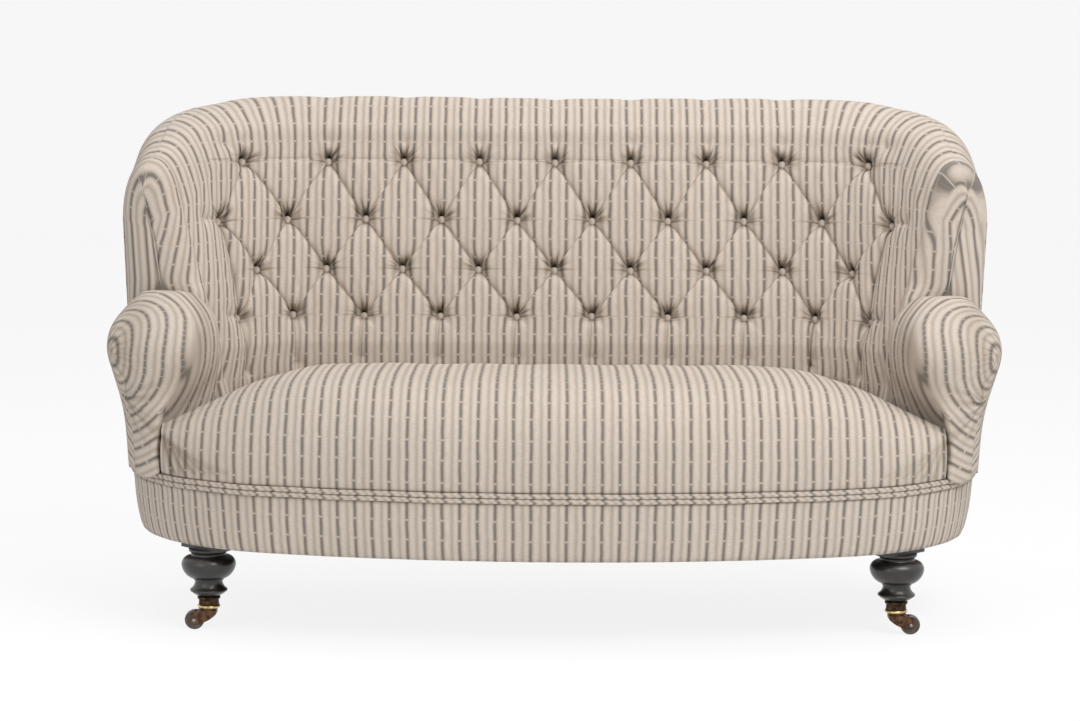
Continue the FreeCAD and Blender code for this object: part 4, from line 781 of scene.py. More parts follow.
def wing_front(end, side):
    """Columns of places in front of the last section."""
    ring = all_places[:, end]
    height = ring[:, 2]
    inside = inner_reach(CAP_START + 0 * height, height)
    outside = outer_reach(CAP_START + 0 * height, height)
    turn = math.radians(CAP_START)
    out = np.array((side * math.cos(turn), math.sin(turn)))
    centre = CORNER_ORIGIN * (side, 1) + out * ((inside + outside) / 2)[:, None]
    # Rounder above the arm, nearly square behind it
    power = 2.3 + 7.0 / (1 + np.exp((height - 0.596) / 0.008))
    depth = centre[:, 1] - WING_NOSE
    crown = ring[:, 2].max()
    columns_out = []
    for step in range(1, CAP_STEPS + 1):
        share = math.sin(math.pi / 2 * step / CAP_STEPS)
        narrow = np.maximum(1 - share ** power, 1e-5) ** (1 / power)
        if step == CAP_STEPS:
            narrow = narrow * 0 + 0.012
        plan = centre + (ring[:, :2] - centre) * narrow[:, None]
        plan[:, 1] = plan[:, 1] - depth * share
        drop = (1 - (1 - share ** 2.4) ** (1 / 2.4)) * 0.060
        level = height - drop * np.clip((height - (crown - 0.16)) / 0.16, 0, 1)
        columns_out.append(np.column_stack([plan, level]))
    return np.array(columns_out)


left_places = wing_front(0, -1)
right_places = wing_front(columns - 1, 1)
all_places = np.concatenate([left_places[::-1].transpose(1, 0, 2), all_places,
                             right_places.transpose(1, 0, 2)], axis=1)


def cap_cloth(end, places, side):
    """Cloth of a wing's front: it goes on round the section, leaning on the right wing."""
    chain = np.concatenate([all_places[:, CAP_STEPS + end][:, None], places.transpose(1, 0, 2)], axis=1)
    length = np.cumsum(np.linalg.norm(np.diff(chain[:, :, :2], axis=1), axis=-1), axis=1)
    first = np.repeat(cloth[:, end][:, None], CAP_STEPS, axis=1)
    level = np.maximum(chain[:, 1:, 2] - 0.60, 0)
    first[..., 0] += side * 1.03 * length
    tilt = (0.24 if side > 0 else 0.0) * level * np.clip(length / 0.045, 0, 1)
    first[..., 0] -= side * tilt
    first[..., 2] = 0
    return first


cap_left = cap_cloth(0, left_places, -1)[:, ::-1]
cap_right = cap_cloth(columns - 1, right_places, 1)
cloth = np.concatenate([cap_left, cloth, cap_right], axis=1)
no_tufts = np.zeros((len(all_places), CAP_STEPS, 3))
tufts = np.concatenate([no_tufts, tufts, no_tufts], axis=1)
inside_cover = closed_sheet("inside_back_cover", all_places, cloth, tufts)
for polygon in inside_cover.data.polygons:
    polygon.use_smooth = polygon.loop_total < 5
finish_piece(inside_cover, "sofa", "striped_fabric", "inside_back", "wing_pad_right", "wing_pad_left")


# Covered buttons, one shape set out on every tuft with its face to the front
def node_tree(name, **inputs):
    tree = bpy.data.node_groups.new(name, "GeometryNodeTree")
    for label, kind in (("Geometry", "NodeSocketGeometry"), *inputs.items()):
        tree.interface.new_socket(label, in_out="INPUT", socket_type=kind)
    tree.interface.new_socket("Geometry", in_out="OUTPUT", socket_type="NodeSocketGeometry")
    return tree, node_of(tree, "NodeGroupInput")


def end_tree(tree, geometry, cloth):
    """Real pieces in one material at the end of a node tree."""
    real = node_of(tree, "GeometryNodeRealizeInstances", {"Geometry": geometry})
    finish = node_of(tree, "GeometryNodeSetMaterial", {"Geometry": real["Geometry"], "Material": cloth})
    node_of(tree, "NodeGroupOutput", {"Geometry": finish["Geometry"]})
    return tree


def run_tree(obj, tree, values):
    """Run a node tree on an object and leave its plain mesh."""
    modifier = obj.modifiers.new(tree.name, "NODES")
    modifier.node_group = tree
    for item in tree.interface.items_tree:
        if item.item_type == "SOCKET" and item.in_out == "INPUT" and item.name in values:
            modifier[item.identifier] = values[item.name]
    bpy.context.view_layer.update()
    graph = bpy.context.evaluated_depsgraph_get()
    mesh = bpy.data.meshes.new_from_object(obj.evaluated_get(graph), preserve_all_data_layers=True,
                                           depsgraph=graph)
    obj.modifiers.clear()
    obj.data = mesh
    return obj


def covered_button():
    """One button: a low dome of cloth drawn round its edge."""
    profile = [(0.0, 0.0042), (0.0022, 0.0041), (0.0042, 0.0036), (0.0060, 0.0026), (0.0072, 0.0012),
               (0.0077, -0.0004), (0.0074, -0.0018), (0.0060, -0.0026)]
    sides = 20
    points = [(0, 0, profile[0][1])]
    for radius, height in profile[1:]:
        for step in range(sides):
            turn = 2 * math.pi * step / sides
            gather = 1 + 0.03 * math.cos(turn * 10) * (radius / 0.0077) ** 4
            points.append((radius * gather * math.cos(turn), radius * gather * math.sin(turn), height))
    points.append((0, 0, -0.0028))
    faces = [(0, 1 + s, 1 + (s + 1) % sides) for s in range(sides)]
    for ring in range(len(profile) - 2):
        for s in range(sides):
            a, b = 1 + ring * sides + s, 1 + ring * sides + (s + 1) % sides
            faces.append((a, a + sides, b + sides, b))
    last = 1 + (len(profile) - 2) * sides
    faces += [(last + (s + 1) % sides, last + s, len(points) - 1) for s in range(sides)]
    # The third number paints a little shade over the whole button
    cloth = [(0.022 + x, 0.2 + y, 0.06) for x, y, z in points]
    return face_outwards(new_piece("one_button", points, faces, CLOTH, cloth))


def button_tree():
    tree, source = node_tree("buttons on tufts", Button="NodeSocketObject", Cloth="NodeSocketMaterial")
    button = node_of(tree, "GeometryNodeObjectInfo", {"Object": source["Button"]})
    facing = node_of(tree, "GeometryNodeInputNamedAttribute", {"Name": "facing"}, data_type="FLOAT_VECTOR")
    turn = node_of(tree, "FunctionNodeAlignRotationToVector", {"Vector": facing["Attribute"]}, axis="Z")
    placed = node_of(tree, "GeometryNodeInstanceOnPoints", {
        "Points": source["Geometry"], "Instance": button["Geometry"], "Rotation": turn["Rotation"]})
    return end_tree(tree, placed["Instances"], source["Cloth"])


def nearest(run_place, height):
    """Row and column of the point on the face that is nearest to a place."""
    column = int(np.argmin(np.abs(run - run_place)))
    row = int(np.argmin(np.abs(row_height[:FACE_ROWS, column] - height)))
    return row, column


spots, facings = [], []
for x, z in buttons:
    row, column = nearest(x, z)
    spots.append(base[row, column] - normal[row, column] * BUTTON_SINK)
    facings.append(normal[row, column])
button_points = bpy.data.meshes.new("button_places")
button_points.from_pydata([tuple(spot) for spot in spots], [], [])
layer = button_points.attributes.new("facing", "FLOAT_VECTOR", "POINT")
layer.data.foreach_set("vector", np.array(facings, np.float32).ravel())
button_group = bpy.data.objects.new("tufting_button_set", button_points)
bpy.context.scene.collection.objects.link(button_group)
one_button = covered_button()
run_tree(button_group, button_tree(), {"Button": one_button, "Cloth": CLOTH})
bpy.data.objects.remove(one_button)
button_group.data.shade_smooth()
finish_piece(button_group, "sofa", "striped_fabric", "tufting_buttons")


# Seat: sections front to back, side by side
TUB_BEND_X = TUB_HALF + TUB_RADIUS * math.cos(math.radians(SPLAY))
TUB_BEND_Y = CORNER_ORIGIN[1] + TUB_RADIUS * math.sin(math.radians(SPLAY))
TUB_SLOPE = math.tan(math.radians(62))
SEAT_END = 0.7150
SEAT_CROWN = 0.018
SEAT_BULGE = 0.0075
SEAT_TUCK = 0.0065


def seat_back(x):
    """Back edge of the seat, along the inside of the back."""
    x = np.abs(x)
    corner = CORNER_ORIGIN[1] + np.sqrt(np.maximum(TUB_RADIUS ** 2 - (x - TUB_HALF) ** 2, 0))
    side = TUB_BEND_Y - (x - TUB_BEND_X) * TUB_SLOPE
    return np.where(x <= TUB_HALF, SEAT_LINE, np.where(x <= TUB_BEND_X, corner, side)) - 0.001


def seat_front(x):
    """Front edge of the seat, along the bow and the corners."""
    x = np.abs(x)
    bow = BOW_CENTRE_Y - np.sqrt(BOW_RADIUS ** 2 - np.minimum(x, 1.0) ** 2)
    corner = CORNER_Y - np.sqrt(np.maximum(CORNER_RADIUS ** 2 - (x - CORNER_X) ** 2, 0))
    return np.where(x <= BOW_RADIUS * math.sin(BOW_END), bow, corner)


def seat_piece():
    count = 361
    x = np.linspace(-SEAT_END, SEAT_END, count)
    back, front = seat_back(x), seat_front(x)
    depth = back - front
    share = np.maximum(0, (np.abs(x) - TUB_HALF * 0.9) / (WELT_HALF - TUB_HALF * 0.9))
    back_top = SEAT_HEIGHT - 0.092 * share ** 1.5 * 1.35
    back_top = smooth_along(back_top, 6)
    crown = back_top + SEAT_CROWN * np.minimum(1, depth / SEAT_DEPTH)
    low = WELT_TOP + 0.0008
    facing = np.where(np.abs(x) > BOW_RADIUS * math.sin(BOW_END), (CORNER_Y - front) / CORNER_RADIUS, 1.0)
    bulge = SEAT_BULGE / facing
    soft = np.minimum(0.13, depth * 0.45)
    rows = []

    def add(y, z):
        rows.append(np.stack([x, y + 0 * x, z + 0 * x], -1))

    tuck = SEAT_TUCK / facing
    add(front + tuck, np.full(count, RAIL_TOP + 0.001))
    add(front + tuck, np.full(count, low - 0.004))
    add(front + tuck * 0.75, np.full(count, low - 0.001))
    steps = 46
    rise = crown - low
    for number in range(steps):
        t = number / steps
        y = bezier(front + tuck * 0.3, front - bulge * 1.5, front - bulge * 0.6, front + soft, t)
        z = bezier(low + 0 * x, low + rise * 0.28, crown - rise * 0.05, crown - 0.004, t)
        add(y, z)
    for number in range(60):
        t = number / 59
        y = bezier(front + soft, front + depth * 0.55, back - depth * 0.12, back - 0.012, t)
        z = bezier(crown - 0.004, crown + 0.006, back_top + 0.006, back_top - 0.003, t)
        add(y, z)
    for number in range(1, 7):
        t = number / 6
        z = bezier(back_top - 0.003, back_top - 0.006, back_top - 0.015, back_top - 0.034, t)
        add(bezier(back - 0.012, back - 0.004, back, back, t), z)
    add(back, np.full(count, RAIL_TOP + 0.001) + (back_top - 0.034 - RAIL_TOP) * 0.5)
    add(back, np.full(count, RAIL_TOP + 0.001))
    places = np.array(rows)
    length = row_lengths(places)
    crease = np.zeros(places.shape[:2])
    shift = np.zeros(places.shape[:2])
    # Tightening pleats at the front corners, drawn towards the foot of each arm, with painted shade in them
    for side in (-1, 1):
        for number in range(6):
            start = np.array((side * (0.712 - 0.010 * number), 0.352 - 0.005 * number))
            end = np.array((side * (0.690 - 0.021 * number), 0.290 + 0.002 * number))
            rel = places[:, :, (0, 2)] - start
            way = end - start
            t = np.clip((rel @ way) / (way @ way), 0, 1)
            away = np.linalg.norm(rel - t[..., None] * way, axis=-1)
            strength = (0.0040 if side < 0 else 0.0020) * (1 - number / 7)
            on_front = places[:, :, 1] < (front + 0.05)
            dent = strength * np.exp(-(away / 0.0042) ** 1.4) * on_front
            shift += dent
            crease = np.maximum(crease, np.clip(dent / 0.006, 0, 1))
    normal = normals_of(places)
    if normal[70, count // 2, 2] < 0:
        normal = -normal
    wave = 0.0009 * np.sin(places[:, :, 0] * 40 + 1.0) * np.sin(places[:, :, 1] * 17) * (length > 0.05)
    places = places + normal * (wave - shift)[..., None]
    across = places[:, :, 0] * (1 + 0.006 * np.clip(length / 0.5, 0, 1)) + STRIPE_START
    # Painted shade where the seat tucks in at the back
    painted_tuck_shade = np.clip((length - (length[-3] - 0.055)) / 0.03, 0, 1)
    cloth = np.stack([across, length - 0.02, np.maximum(crease, painted_tuck_shade * 0.4)], -1)
    return closed_sheet("seat_cover", places, cloth)


seat = seat_piece()
finish_piece(seat, "sofa", "striped_fabric", "seat_pad")


# Plan of the border: seam at the back, rear corner, side, front corner, bow, and round again
def seam_x(height):
    """Where the outside back is sewn to the outside arm."""
    share = (height - HEM) / (CREST_TOP - HEM)
    hem_half = WELT_HALF - HEM_INSET
    return hem_half * (1 - share) + WING_HALF * share - REAR_CORNER


def plan_arc(centre, radius, first, last, count):
    turn = np.linspace(first, last, count)
    return np.stack([centre[0] + radius * np.cos(turn), centre[1] + radius * np.sin(turn)], -1)


def border_plan(height, inset, grow=0.0):
    """Half outline in plan from the middle of the bow to the back seam, then its mirror image."""
    inset = inset - grow
    bow = plan_arc((0, BOW_CENTRE_Y), BOW_RADIUS - inset, -math.pi / 2, -math.pi / 2 + BOW_END, 131)
    corner = plan_arc((CORNER_X, CORNER_Y), CORNER_RADIUS - inset, -math.pi / 2 + BOW_END, 0, 123)
    seam = seam_x(height)
    side_x = WELT_HALF - inset
    deep = rear_y(height) + grow - CORNER_Y
    wide = side_x - seam
    turn = np.linspace(0, math.pi / 2, 72)
    rear = np.stack([seam + wide * np.cos(turn), CORNER_Y + deep * np.sin(turn)], -1)
    half = np.concatenate([bow, corner[1:], rear[1:]])
    left = half[::-1][:-1] * (-1, 1)
    return np.concatenate([left, half])


def plan_lengths(outline):
    """Distance along an outline, measured from its middle."""
    step = np.linalg.norm(np.diff(outline, axis=0), axis=-1)
    total = np.concatenate([[0], np.cumsum(step)])
    return total - total[len(total) // 2]


def border_piece():
    rows, cloth = [], []
    levels = np.linspace(HEM, WELT_HEIGHT - 2 * WELT_RADIUS - 0.0004, 16)
    lengths = plan_lengths(border_plan(0.22, 0.008))

    def add(level, outline):
        rows.append(level_line(outline, level))
        cloth.append(np.column_stack([level_line(lengths + STRIPE_START, level - 0.1465), 0 * lengths]))

    for level in levels:
        share = (level - levels[0]) / (levels[-1] - levels[0])
        swell = 0.0026 * math.sin(math.pi * min(1, share * 1.15)) - 0.0022 * max(0, 0.1 - share) / 0.1
        outline = border_plan(level, HEM_INSET * (1 - share), swell)
        pucker = 0.00045 * np.sin(lengths * 95 + 2 * np.sin(lengths * 11)) * (1 - 0.4 * share)
        centre = outline - (0, 0.03)
        add(level, outline + centre / np.linalg.norm(centre, axis=-1, keepdims=True) * pucker[:, None])
    for level in (levels[-1], HEM + 0.0005):
        share = (level - levels[0]) / (levels[-1] - levels[0])
        add(level, border_plan(level, HEM_INSET * (1 - share) + 0.0035))
    return closed_sheet("border_cover", np.array(rows), np.array(cloth))


border = border_piece()
finish_piece(border, "sofa", "striped_fabric", "border")


# Double welt: two cords that follow the top of the border
def measured(tree, curve, kind):
    """A curve whose points keep how far along it they are."""
    parameter = node_of(tree, "GeometryNodeSplineParameter")
    capture = tree.nodes.new("GeometryNodeCaptureAttribute")
    capture.domain = "POINT"
    capture.capture_items.new("FLOAT", kind)
    put(tree, curve, capture.inputs["Geometry"])
    put(tree, parameter[kind], capture.inputs[1])
    return capture.outputs["Geometry"], capture.outputs[1]


def cord_tree():
    """A tube round a path, which keeps the cloth's place along and round it."""
    tree, source = node_tree("piping cord", Radius="NodeSocketFloat", Bias="NodeSocketFloat",
                             Cloth="NodeSocketMaterial")
    line = node_of(tree, "GeometryNodeMeshToCurve", {"Mesh": source["Geometry"]})
    ring = node_of(tree, "GeometryNodeCurvePrimitiveCircle", {"Resolution": 14, "Radius": source["Radius"]})
    path, length = measured(tree, line["Curve"], "Length")
    section, turn = measured(tree, ring["Curve"], "Factor")
    tube = node_of(tree, "GeometryNodeCurveToMesh", {
        "Curve": path, "Profile Curve": section, "Fill Caps": True})
    slant = node_of(tree, "ShaderNodeMath", {0: turn, 1: source["Bias"], 2: length}, operation="MULTIPLY_ADD")
    place = node_of(tree, "ShaderNodeCombineXYZ", {"X": slant[0], "Y": turn})
    values = {"Name": "cloth", "Geometry": tube["Mesh"], "Value": place[0]}
    store = node_of(tree, "GeometryNodeStoreNamedAttribute", values, data_type="FLOAT_VECTOR", domain="POINT")
    soft = node_of(tree, "GeometryNodeSetShadeSmooth", {"Geometry": store["Geometry"]})
    return end_tree(tree, soft["Geometry"], source["Cloth"])


cords = cord_tree()
for name, level in (("lower_welt", WELT_HEIGHT - WELT_RADIUS), ("upper_welt", WELT_HEIGHT + WELT_RADIUS)):
    outline = border_plan(level, 0.0, -0.0004)
    lengths = plan_lengths(outline)
    sag = level + 0.0003 * np.sin(lengths * 37)
    path = bpy.data.meshes.new(name)
    edges = [(i, i + 1) for i in range(len(outline) - 1)]
    path.from_pydata(np.column_stack([outline, sag]).tolist(), edges, [])
    welt = bpy.data.objects.new(name + "_cover", path)
    bpy.context.scene.collection.objects.link(welt)
    run_tree(welt, cords, {"Radius": WELT_RADIUS * 0.97, "Bias": 0.006, "Cloth": CLOTH})
    face_outwards(welt)
    finish_piece(welt, "sofa", "striped_fabric", name + "_cord")


# Arms: their outlines at rising levels make a soft form, and hoops of cloth are laid over it
ARM_BACK = WING_FRONT_Y - 0.0003
ARM_INSIDE = TUB_BEND_X + (TUB_BEND_Y - ARM_BACK) / TUB_SLOPE + 0.0003
ARM_WIDTH = 0.180
ARM_LENGTH = 0.200
ARM_LEVELS = (
    (0.00, 0.000, (0.465, 0.780), (0.465, 0.940), (0.785, 0.470), 0.915),
    (0.06, 0.000, (0.468, 0.775), (0.470, 0.985), (0.800, 0.480), 0.925),
    (0.155, 0.000, (0.470, 0.767), (0.472, 0.977), (0.806, 0.490), 0.935),
    (0.30, 0.005, (0.465, 0.765), (0.472, 0.970), (0.835, 0.520), 0.945),
    (0.37, 0.010, (0.425, 0.745), (0.450, 0.960), (0.850, 0.540), 0.955),
    (0.45, 0.000, (0.350, 0.745), (0.390, 0.950), (0.885, 0.600), 0.975),
    (0.55, -0.030, (0.205, 0.767), (0.272, 0.940), (0.940, 0.690), 1.000),
    (0.70, -0.050, (0.100, 0.717), (0.172, 0.967), (1.000, 0.767), 1.035),
    (0.84, -0.030, (0.100, 0.617), (0.183, 0.842), (0.972, 0.642), 1.005),
    (0.94, 0.070, (0.205, 0.390), (0.328, 0.567), (0.828, 0.440), 0.917),
    (1.00, 0.270, (0.340, 0.117), (0.440, 0.217), (0.630, 0.177), 0.717),
)


def arm_levels_smoothed(count):
    """Control points of the arm's outlines at even levels, eased between the given ones."""
    shares = np.array([row[0] for row in ARM_LEVELS])
    table = np.array([[row[1], 0, *row[2], *row[3], *row[4], row[5], 0] for row in ARM_LEVELS])
    wanted = np.linspace(0, 1, count)
    out = np.stack([np.interp(wanted, shares, table[:, i]) for i in range(table.shape[1])], -1)
    for i in range(out.shape[1]):
        out[:, i] = smooth_along(out[:, i], 3)
    return wanted, out


def arm_form():
    """A closed soft form of the right arm, for laying the cloth on."""
    count, around = 60, 96
    wanted, control = arm_levels_smoothed(count)
    rings = []
    for share, row in zip(wanted, control):
        level = RAIL_TOP + 0.001 + (ARM_HEIGHT - RAIL_TOP - 0.001) * share
        corners = (ARM_INSIDE, ARM_BACK) + row.reshape(5, 2) * (ARM_WIDTH, -ARM_LENGTH)
        back_in, elbow, tip, outside, back_out = corners
        forward = np.array((outside[1] - tip[1], -(outside[0] - tip[0])))
        forward = forward / max(np.linalg.norm(forward), 1e-6)
        if forward[1] > 0:
            forward = -forward
        width = np.linalg.norm(outside - tip)
        front = (tip + outside) / 2 + forward * width * 0.17
        side = (outside + back_out) / 2 + np.array((np.linalg.norm(back_out - outside) * 0.08, 0))
        inner_mid = (back_in + elbow) / 2
        loop = np.array([back_in, inner_mid, elbow, tip, front, outside, side, back_out])
        dense = []
        for i in range(len(loop) - 1):
            p0, p1 = loop[max(i - 1, 0)], loop[i]
            p2, p3 = loop[i + 1], loop[min(i + 2, len(loop) - 1)]
            for t in np.linspace(0, 1, 14, endpoint=False):
                dense.append(0.5 * ((2 * p1) + (p2 - p0) * t + (2 * p0 - 5 * p1 + 4 * p2 - p3) * t ** 2
                                    + (3 * p1 - p0 - 3 * p2 + p3) * t ** 3))
        dense.append(loop[-1])
        dense = np.array(dense)
        dense[:, 1] = np.minimum(dense[:, 1], ARM_BACK)
        rings.append(level_line(dense, level))
    return np.array(rings)


def arm_piece(side, label):
    form = arm_form()
    levels, around = form.shape[:2]
    centre_bottom = form[0].mean(0)
    centre_top = form[-1].mean(0) + (0, 0, 0.002)
    points = list(map(tuple, form.reshape(-1, 3))) + [tuple(centre_bottom), tuple(centre_top)]
    faces = grid_faces(levels, around, wrap_columns=True)
    faces += [((i + 1) % around, i, levels * around) for i in range(around)]
    top_row = (levels - 1) * around
    faces += [(top_row + i, top_row + (i + 1) % around, levels * around + 1) for i in range(around)]
    tree = BVHTree.FromPolygons([Vector(p) for p in points], [tuple(f) for f in faces])
    # Hoops from the wing forward, tilting round to the gathered front
    start = Vector((ARM_INSIDE + 0.095, ARM_BACK - 0.0006, 0.440))
    turn_at = Vector((ARM_INSIDE + 0.112, ARM_BACK - 0.082, 0.425))
    pole = Vector((0.62, -0.62, -0.12)).normalized()
    ahead = Vector((0, -1, 0))
    hoops, ring_size = 96, 150
    places = []
    for hoop in range(hoops + 1):
        share = hoop / hoops
        if share < 0.36:
            s = share / 0.36
            origin = start.lerp(turn_at, s)
            axis = ahead.lerp(pole, s * s * 0.25).normalized()
            spread = math.pi / 2
        else:
            s = (share - 0.36) / 0.64
            origin = turn_at
            ease = 1 - (1 - s) ** 1.3
            axis = ahead.lerp(pole, 0.25 + 0.75 * ease).normalized()
            spread = math.pi / 2 * (1 - s)
        sideways = axis.cross(Vector((0, 0, 1))).normalized()
        upward = sideways.cross(axis).normalized()
        ring = []
        for step in range(ring_size):
            turn = 2 * math.pi * step / ring_size
            radial = sideways * math.sin(turn) - upward * math.cos(turn)
            direction = (radial * math.sin(spread) + axis * math.cos(spread)).normalized()
            hit, _, _, _ = tree.ray_cast(origin, direction)
            ring.append(hit if hit is not None else origin)
        places.append(ring)
    places = np.array([[tuple(p) for p in ring] for ring in places])
    places[-1] = places[-1].mean(0)
    for _ in range(6):
        inner = places[1:-1]
        smooth = (np.roll(places, 1, 1)[1:-1] + np.roll(places, -1, 1)[1:-1] + places[2:] + places[:-2]) / 4
        keep_low = (inner[..., 2] < WELT_TOP + 0.012)[..., None]
        places[1:-1] = np.where(keep_low, inner, inner * 0.4 + smooth * 0.6)
    step = np.linalg.norm(np.diff(places, axis=0), axis=-1)
    upper = slice(ring_size // 5, ring_size - ring_size // 5)
    forward = np.concatenate([[0], np.cumsum(np.median(step[:, upper], axis=1))])
    turn = np.linspace(0, 2 * math.pi, ring_size, endpoint=False)
    hoop_share = np.linspace(0, 1, hoops + 1)[:, None]
    # Gathers that fan out from the front, and slight pulls across the roll
    fan = np.clip((hoop_share - 0.62) / 0.3, 0, 1)
    folds = np.cos(15 * turn[None, :] + 2.2 * np.sin(3 * turn[None, :]))
    folds += 0.6 * np.cos(23 * turn[None, :] + 1.1)
    depth = 0.0022 * fan * folds * (1 - np.clip((hoop_share - 0.93) / 0.07, 0, 1))
    lower_front = np.exp(-((turn[None, :] - 0.9) / 0.7) ** 2) + np.exp(-((turn[None, :] - 5.6) / 0.6) ** 2)
    depth = depth * (0.45 + 0.8 * lower_front)
    depth += 0.0007 * np.sin(turn[None, :] * 6 + hoop_share * 9)
    seam_tuck = 0.006 * np.exp(-forward[:, None] / 0.006)
    middle = places.mean(1, keepdims=True)
    normal = normals_of(np.concatenate([places, places[:, :1]], axis=1))[:, :-1]
    if np.einsum("ijk,ijk->", normal[20:40], (places - middle)[20:40]) < 0:
        normal = -normal
    above = np.clip((places[..., 2] - WELT_TOP - 0.004) / 0.02, 0, 1)
    places = places + normal * ((depth - seam_tuck) * above)[..., None]
    # Painted shade: darker cloth in the hollows of the gathers, in the tuck at the seam against the wing and
    # in the spokes of the gathered front
    painted_fold_shade = np.clip(-depth / 0.004, 0, 1) * 0.8 + 0.5 * np.exp(-forward[:, None] / 0.004)
    spoke = places - (0.800, -0.140, 0.500)
    hoop_reach = 1.12 * np.linalg.norm(spoke * (1.0, 1.0, 0.9), axis=-1)
    hoop_turn = np.arctan2(spoke[..., 2], -spoke[..., 1])
    spokes = np.clip(np.cos(17 * hoop_turn + 2 * np.sin(3 * hoop_turn)), 0, 1)
    painted_fold_shade = np.maximum(painted_fold_shade, 0.6 * spokes * np.exp(-(hoop_reach / 0.050) ** 2))
    cloth = np.stack([hoop_reach + 0.004, hoop_turn * 0.16, np.clip(painted_fold_shade, 0, 1)], -1)
    places[..., 0] *= side
    faces = grid_faces(hoops + 1, ring_size, wrap_columns=True)
    faces.append(list(range(ring_size)))
    name = "arm_cover_" + label
    return face_outwards(new_piece(name, places.reshape(-1, 3), faces, CLOTH, cloth.reshape(-1, 3)))


for side, label in SIDES:
    arm = arm_piece(side, label)
    finish_piece(arm, "sofa", "striped_fabric", "arm_pad_" + label)


# Outside covers: the flat back and the two sides, tight over the frame
def outside_back_piece():
    levels = np.linspace(HEM + 0.006, CREST_TOP - 0.001, 60)
    across = np.linspace(-1, 1, 161)
    rows, cloth = [], []
    for layer, sink in ((0, 0.0), (1, 0.0024)):
        order = levels if layer == 0 else levels[::-1]
        for level in order:
            side = seam_x(level) - 0.0008
            x = across * side
            share = (level - levels[0]) / (levels[-1] - levels[0])
            belly = -0.0025 * np.sin(math.pi * share) * (1 - across ** 4)
            rows.append(np.stack([x, rear_y(level) - sink + belly * (1 - layer), np.full(len(x), level)], -1))
            cloth.append(np.stack([x + STRIPE_START, np.full(len(x), level), 0 * x], -1))
    return closed_sheet("outside_back_cover", np.array(rows), np.array(cloth))


outside_back = outside_back_piece()
finish_piece(outside_back, "sofa", "striped_fabric", "outside_back")


def shell_point(turn, height, under, inset):
    """Outside of the cover at one station of the corner, straight from the rail to the roll."""
    share = (height - RAIL_TOP) / (under - RAIL_TOP)
    reach = outer_reach(turn, RAIL_TOP) * (1 - share) + outer_reach(turn, under) * share - inset
    out = np.stack([np.cos(np.radians(turn)), np.sin(np.radians(turn))], -1)
    place = CORNER_ORIGIN + out * reach[:, None]
    return np.column_stack([place, height])


def outside_arm_piece(side, label):
    first = 60.0
    turns = np.linspace(first, 6.5, 110)
    under = np.interp(turns, angle[::-1][:columns // 2], (top - cover)[::-1][:columns // 2]) - 0.0012
    count = 56
    rows, cloth = [], []
    for layer, inset in ((0, 0.0002), (1, 0.0026)):
        shares = np.linspace(0, 1, count)
        if layer:
            shares = shares[::-1]
        for share in shares:
            height = WELT_TOP + 0.0006 + (under - WELT_TOP - 0.0006) * share
            curve = shell_point(turns, height, under, np.full(len(turns), inset))
            seam_level = WELT_TOP + 0.0006 + (CREST_TOP - 0.001 - WELT_TOP) * share
            seam = np.array([[seam_x(seam_level) + 0.0006, rear_y(seam_level) - inset, seam_level]])
            ease = seam * 0.5 + curve[:1] * 0.5
            line = np.concatenate([seam, ease, curve])
            step = np.linalg.norm(np.diff(line[:, :2], axis=0), axis=-1)
            length = np.concatenate([[0], np.cumsum(step)])
            rows.append(line * (side, 1, 1))
            cloth.append(np.column_stack([length + 0.008, line[:, 2], 0 * length]))
    return closed_sheet("outside_arm_cover_" + label, np.array(rows), np.array(cloth))


for side, label in SIDES:
    finish_piece(outside_arm_piece(side, label), "sofa", "striped_fabric", "outside_arm_" + label)


# Turned pieces
def arc_points(points, fine=8):
    """Profile points: a plain pair is a corner, a triple (mid, end) is an arc through mid."""
    out = [np.array(points[0], float)]
    for item in points[1:]:
        if isinstance(item[0], tuple):
            a, b, c = out[-1], np.array(item[0], float), np.array(item[1], float)
            d = 2 * (a[0] * (b[1] - c[1]) + b[0] * (c[1] - a[1]) + c[0] * (a[1] - b[1]))
            ux = ((a @ a) * (b[1] - c[1]) + (b @ b) * (c[1] - a[1]) + (c @ c) * (a[1] - b[1])) / d
            uy = ((a @ a) * (c[0] - b[0]) + (b @ b) * (a[0] - c[0]) + (c @ c) * (b[0] - a[0])) / d
            centre = np.array((ux, uy))
            start, mid, end = (math.atan2(*(p - centre)[::-1]) for p in (a, b, c))
            turn = (end - start) % (2 * math.pi)
            if (mid - start) % (2 * math.pi) > turn:
                turn -= 2 * math.pi
            radius = np.linalg.norm(a - centre)
            for step in range(1, fine + 1):
                t = start + turn * step / fine
                out.append(centre + radius * np.array((math.cos(t), math.sin(t))))
        else:
            out.append(np.array(item, float))
    return out


def turned_piece(name, profile, place, mat, sides=56, axis=None):
    """A closed lathe form from (radius, height) pairs that start and end on the axis or a bore."""
    points = []
    for radius, height in profile:
        for step in range(sides):
            turn = 2 * math.pi * step / sides
            points.append((radius * math.cos(turn), radius * math.sin(turn), height))
    count = len(profile)
    closed = profile[0][0] > 1e-6 and profile[-1][0] > 1e-6
    faces = grid_faces(count, sides, wrap_rows=closed, wrap_columns=True)
    points = np.array(points)
    if axis is not None:
        turn = Vector((0, 0, 1)).rotation_difference(Vector(axis)).to_matrix()
        points = points @ np.array(turn).T
    points = points + np.array(place)
    obj = new_piece(name, points, faces, mat)
    merge_points(obj)
    return face_outwards(obj)


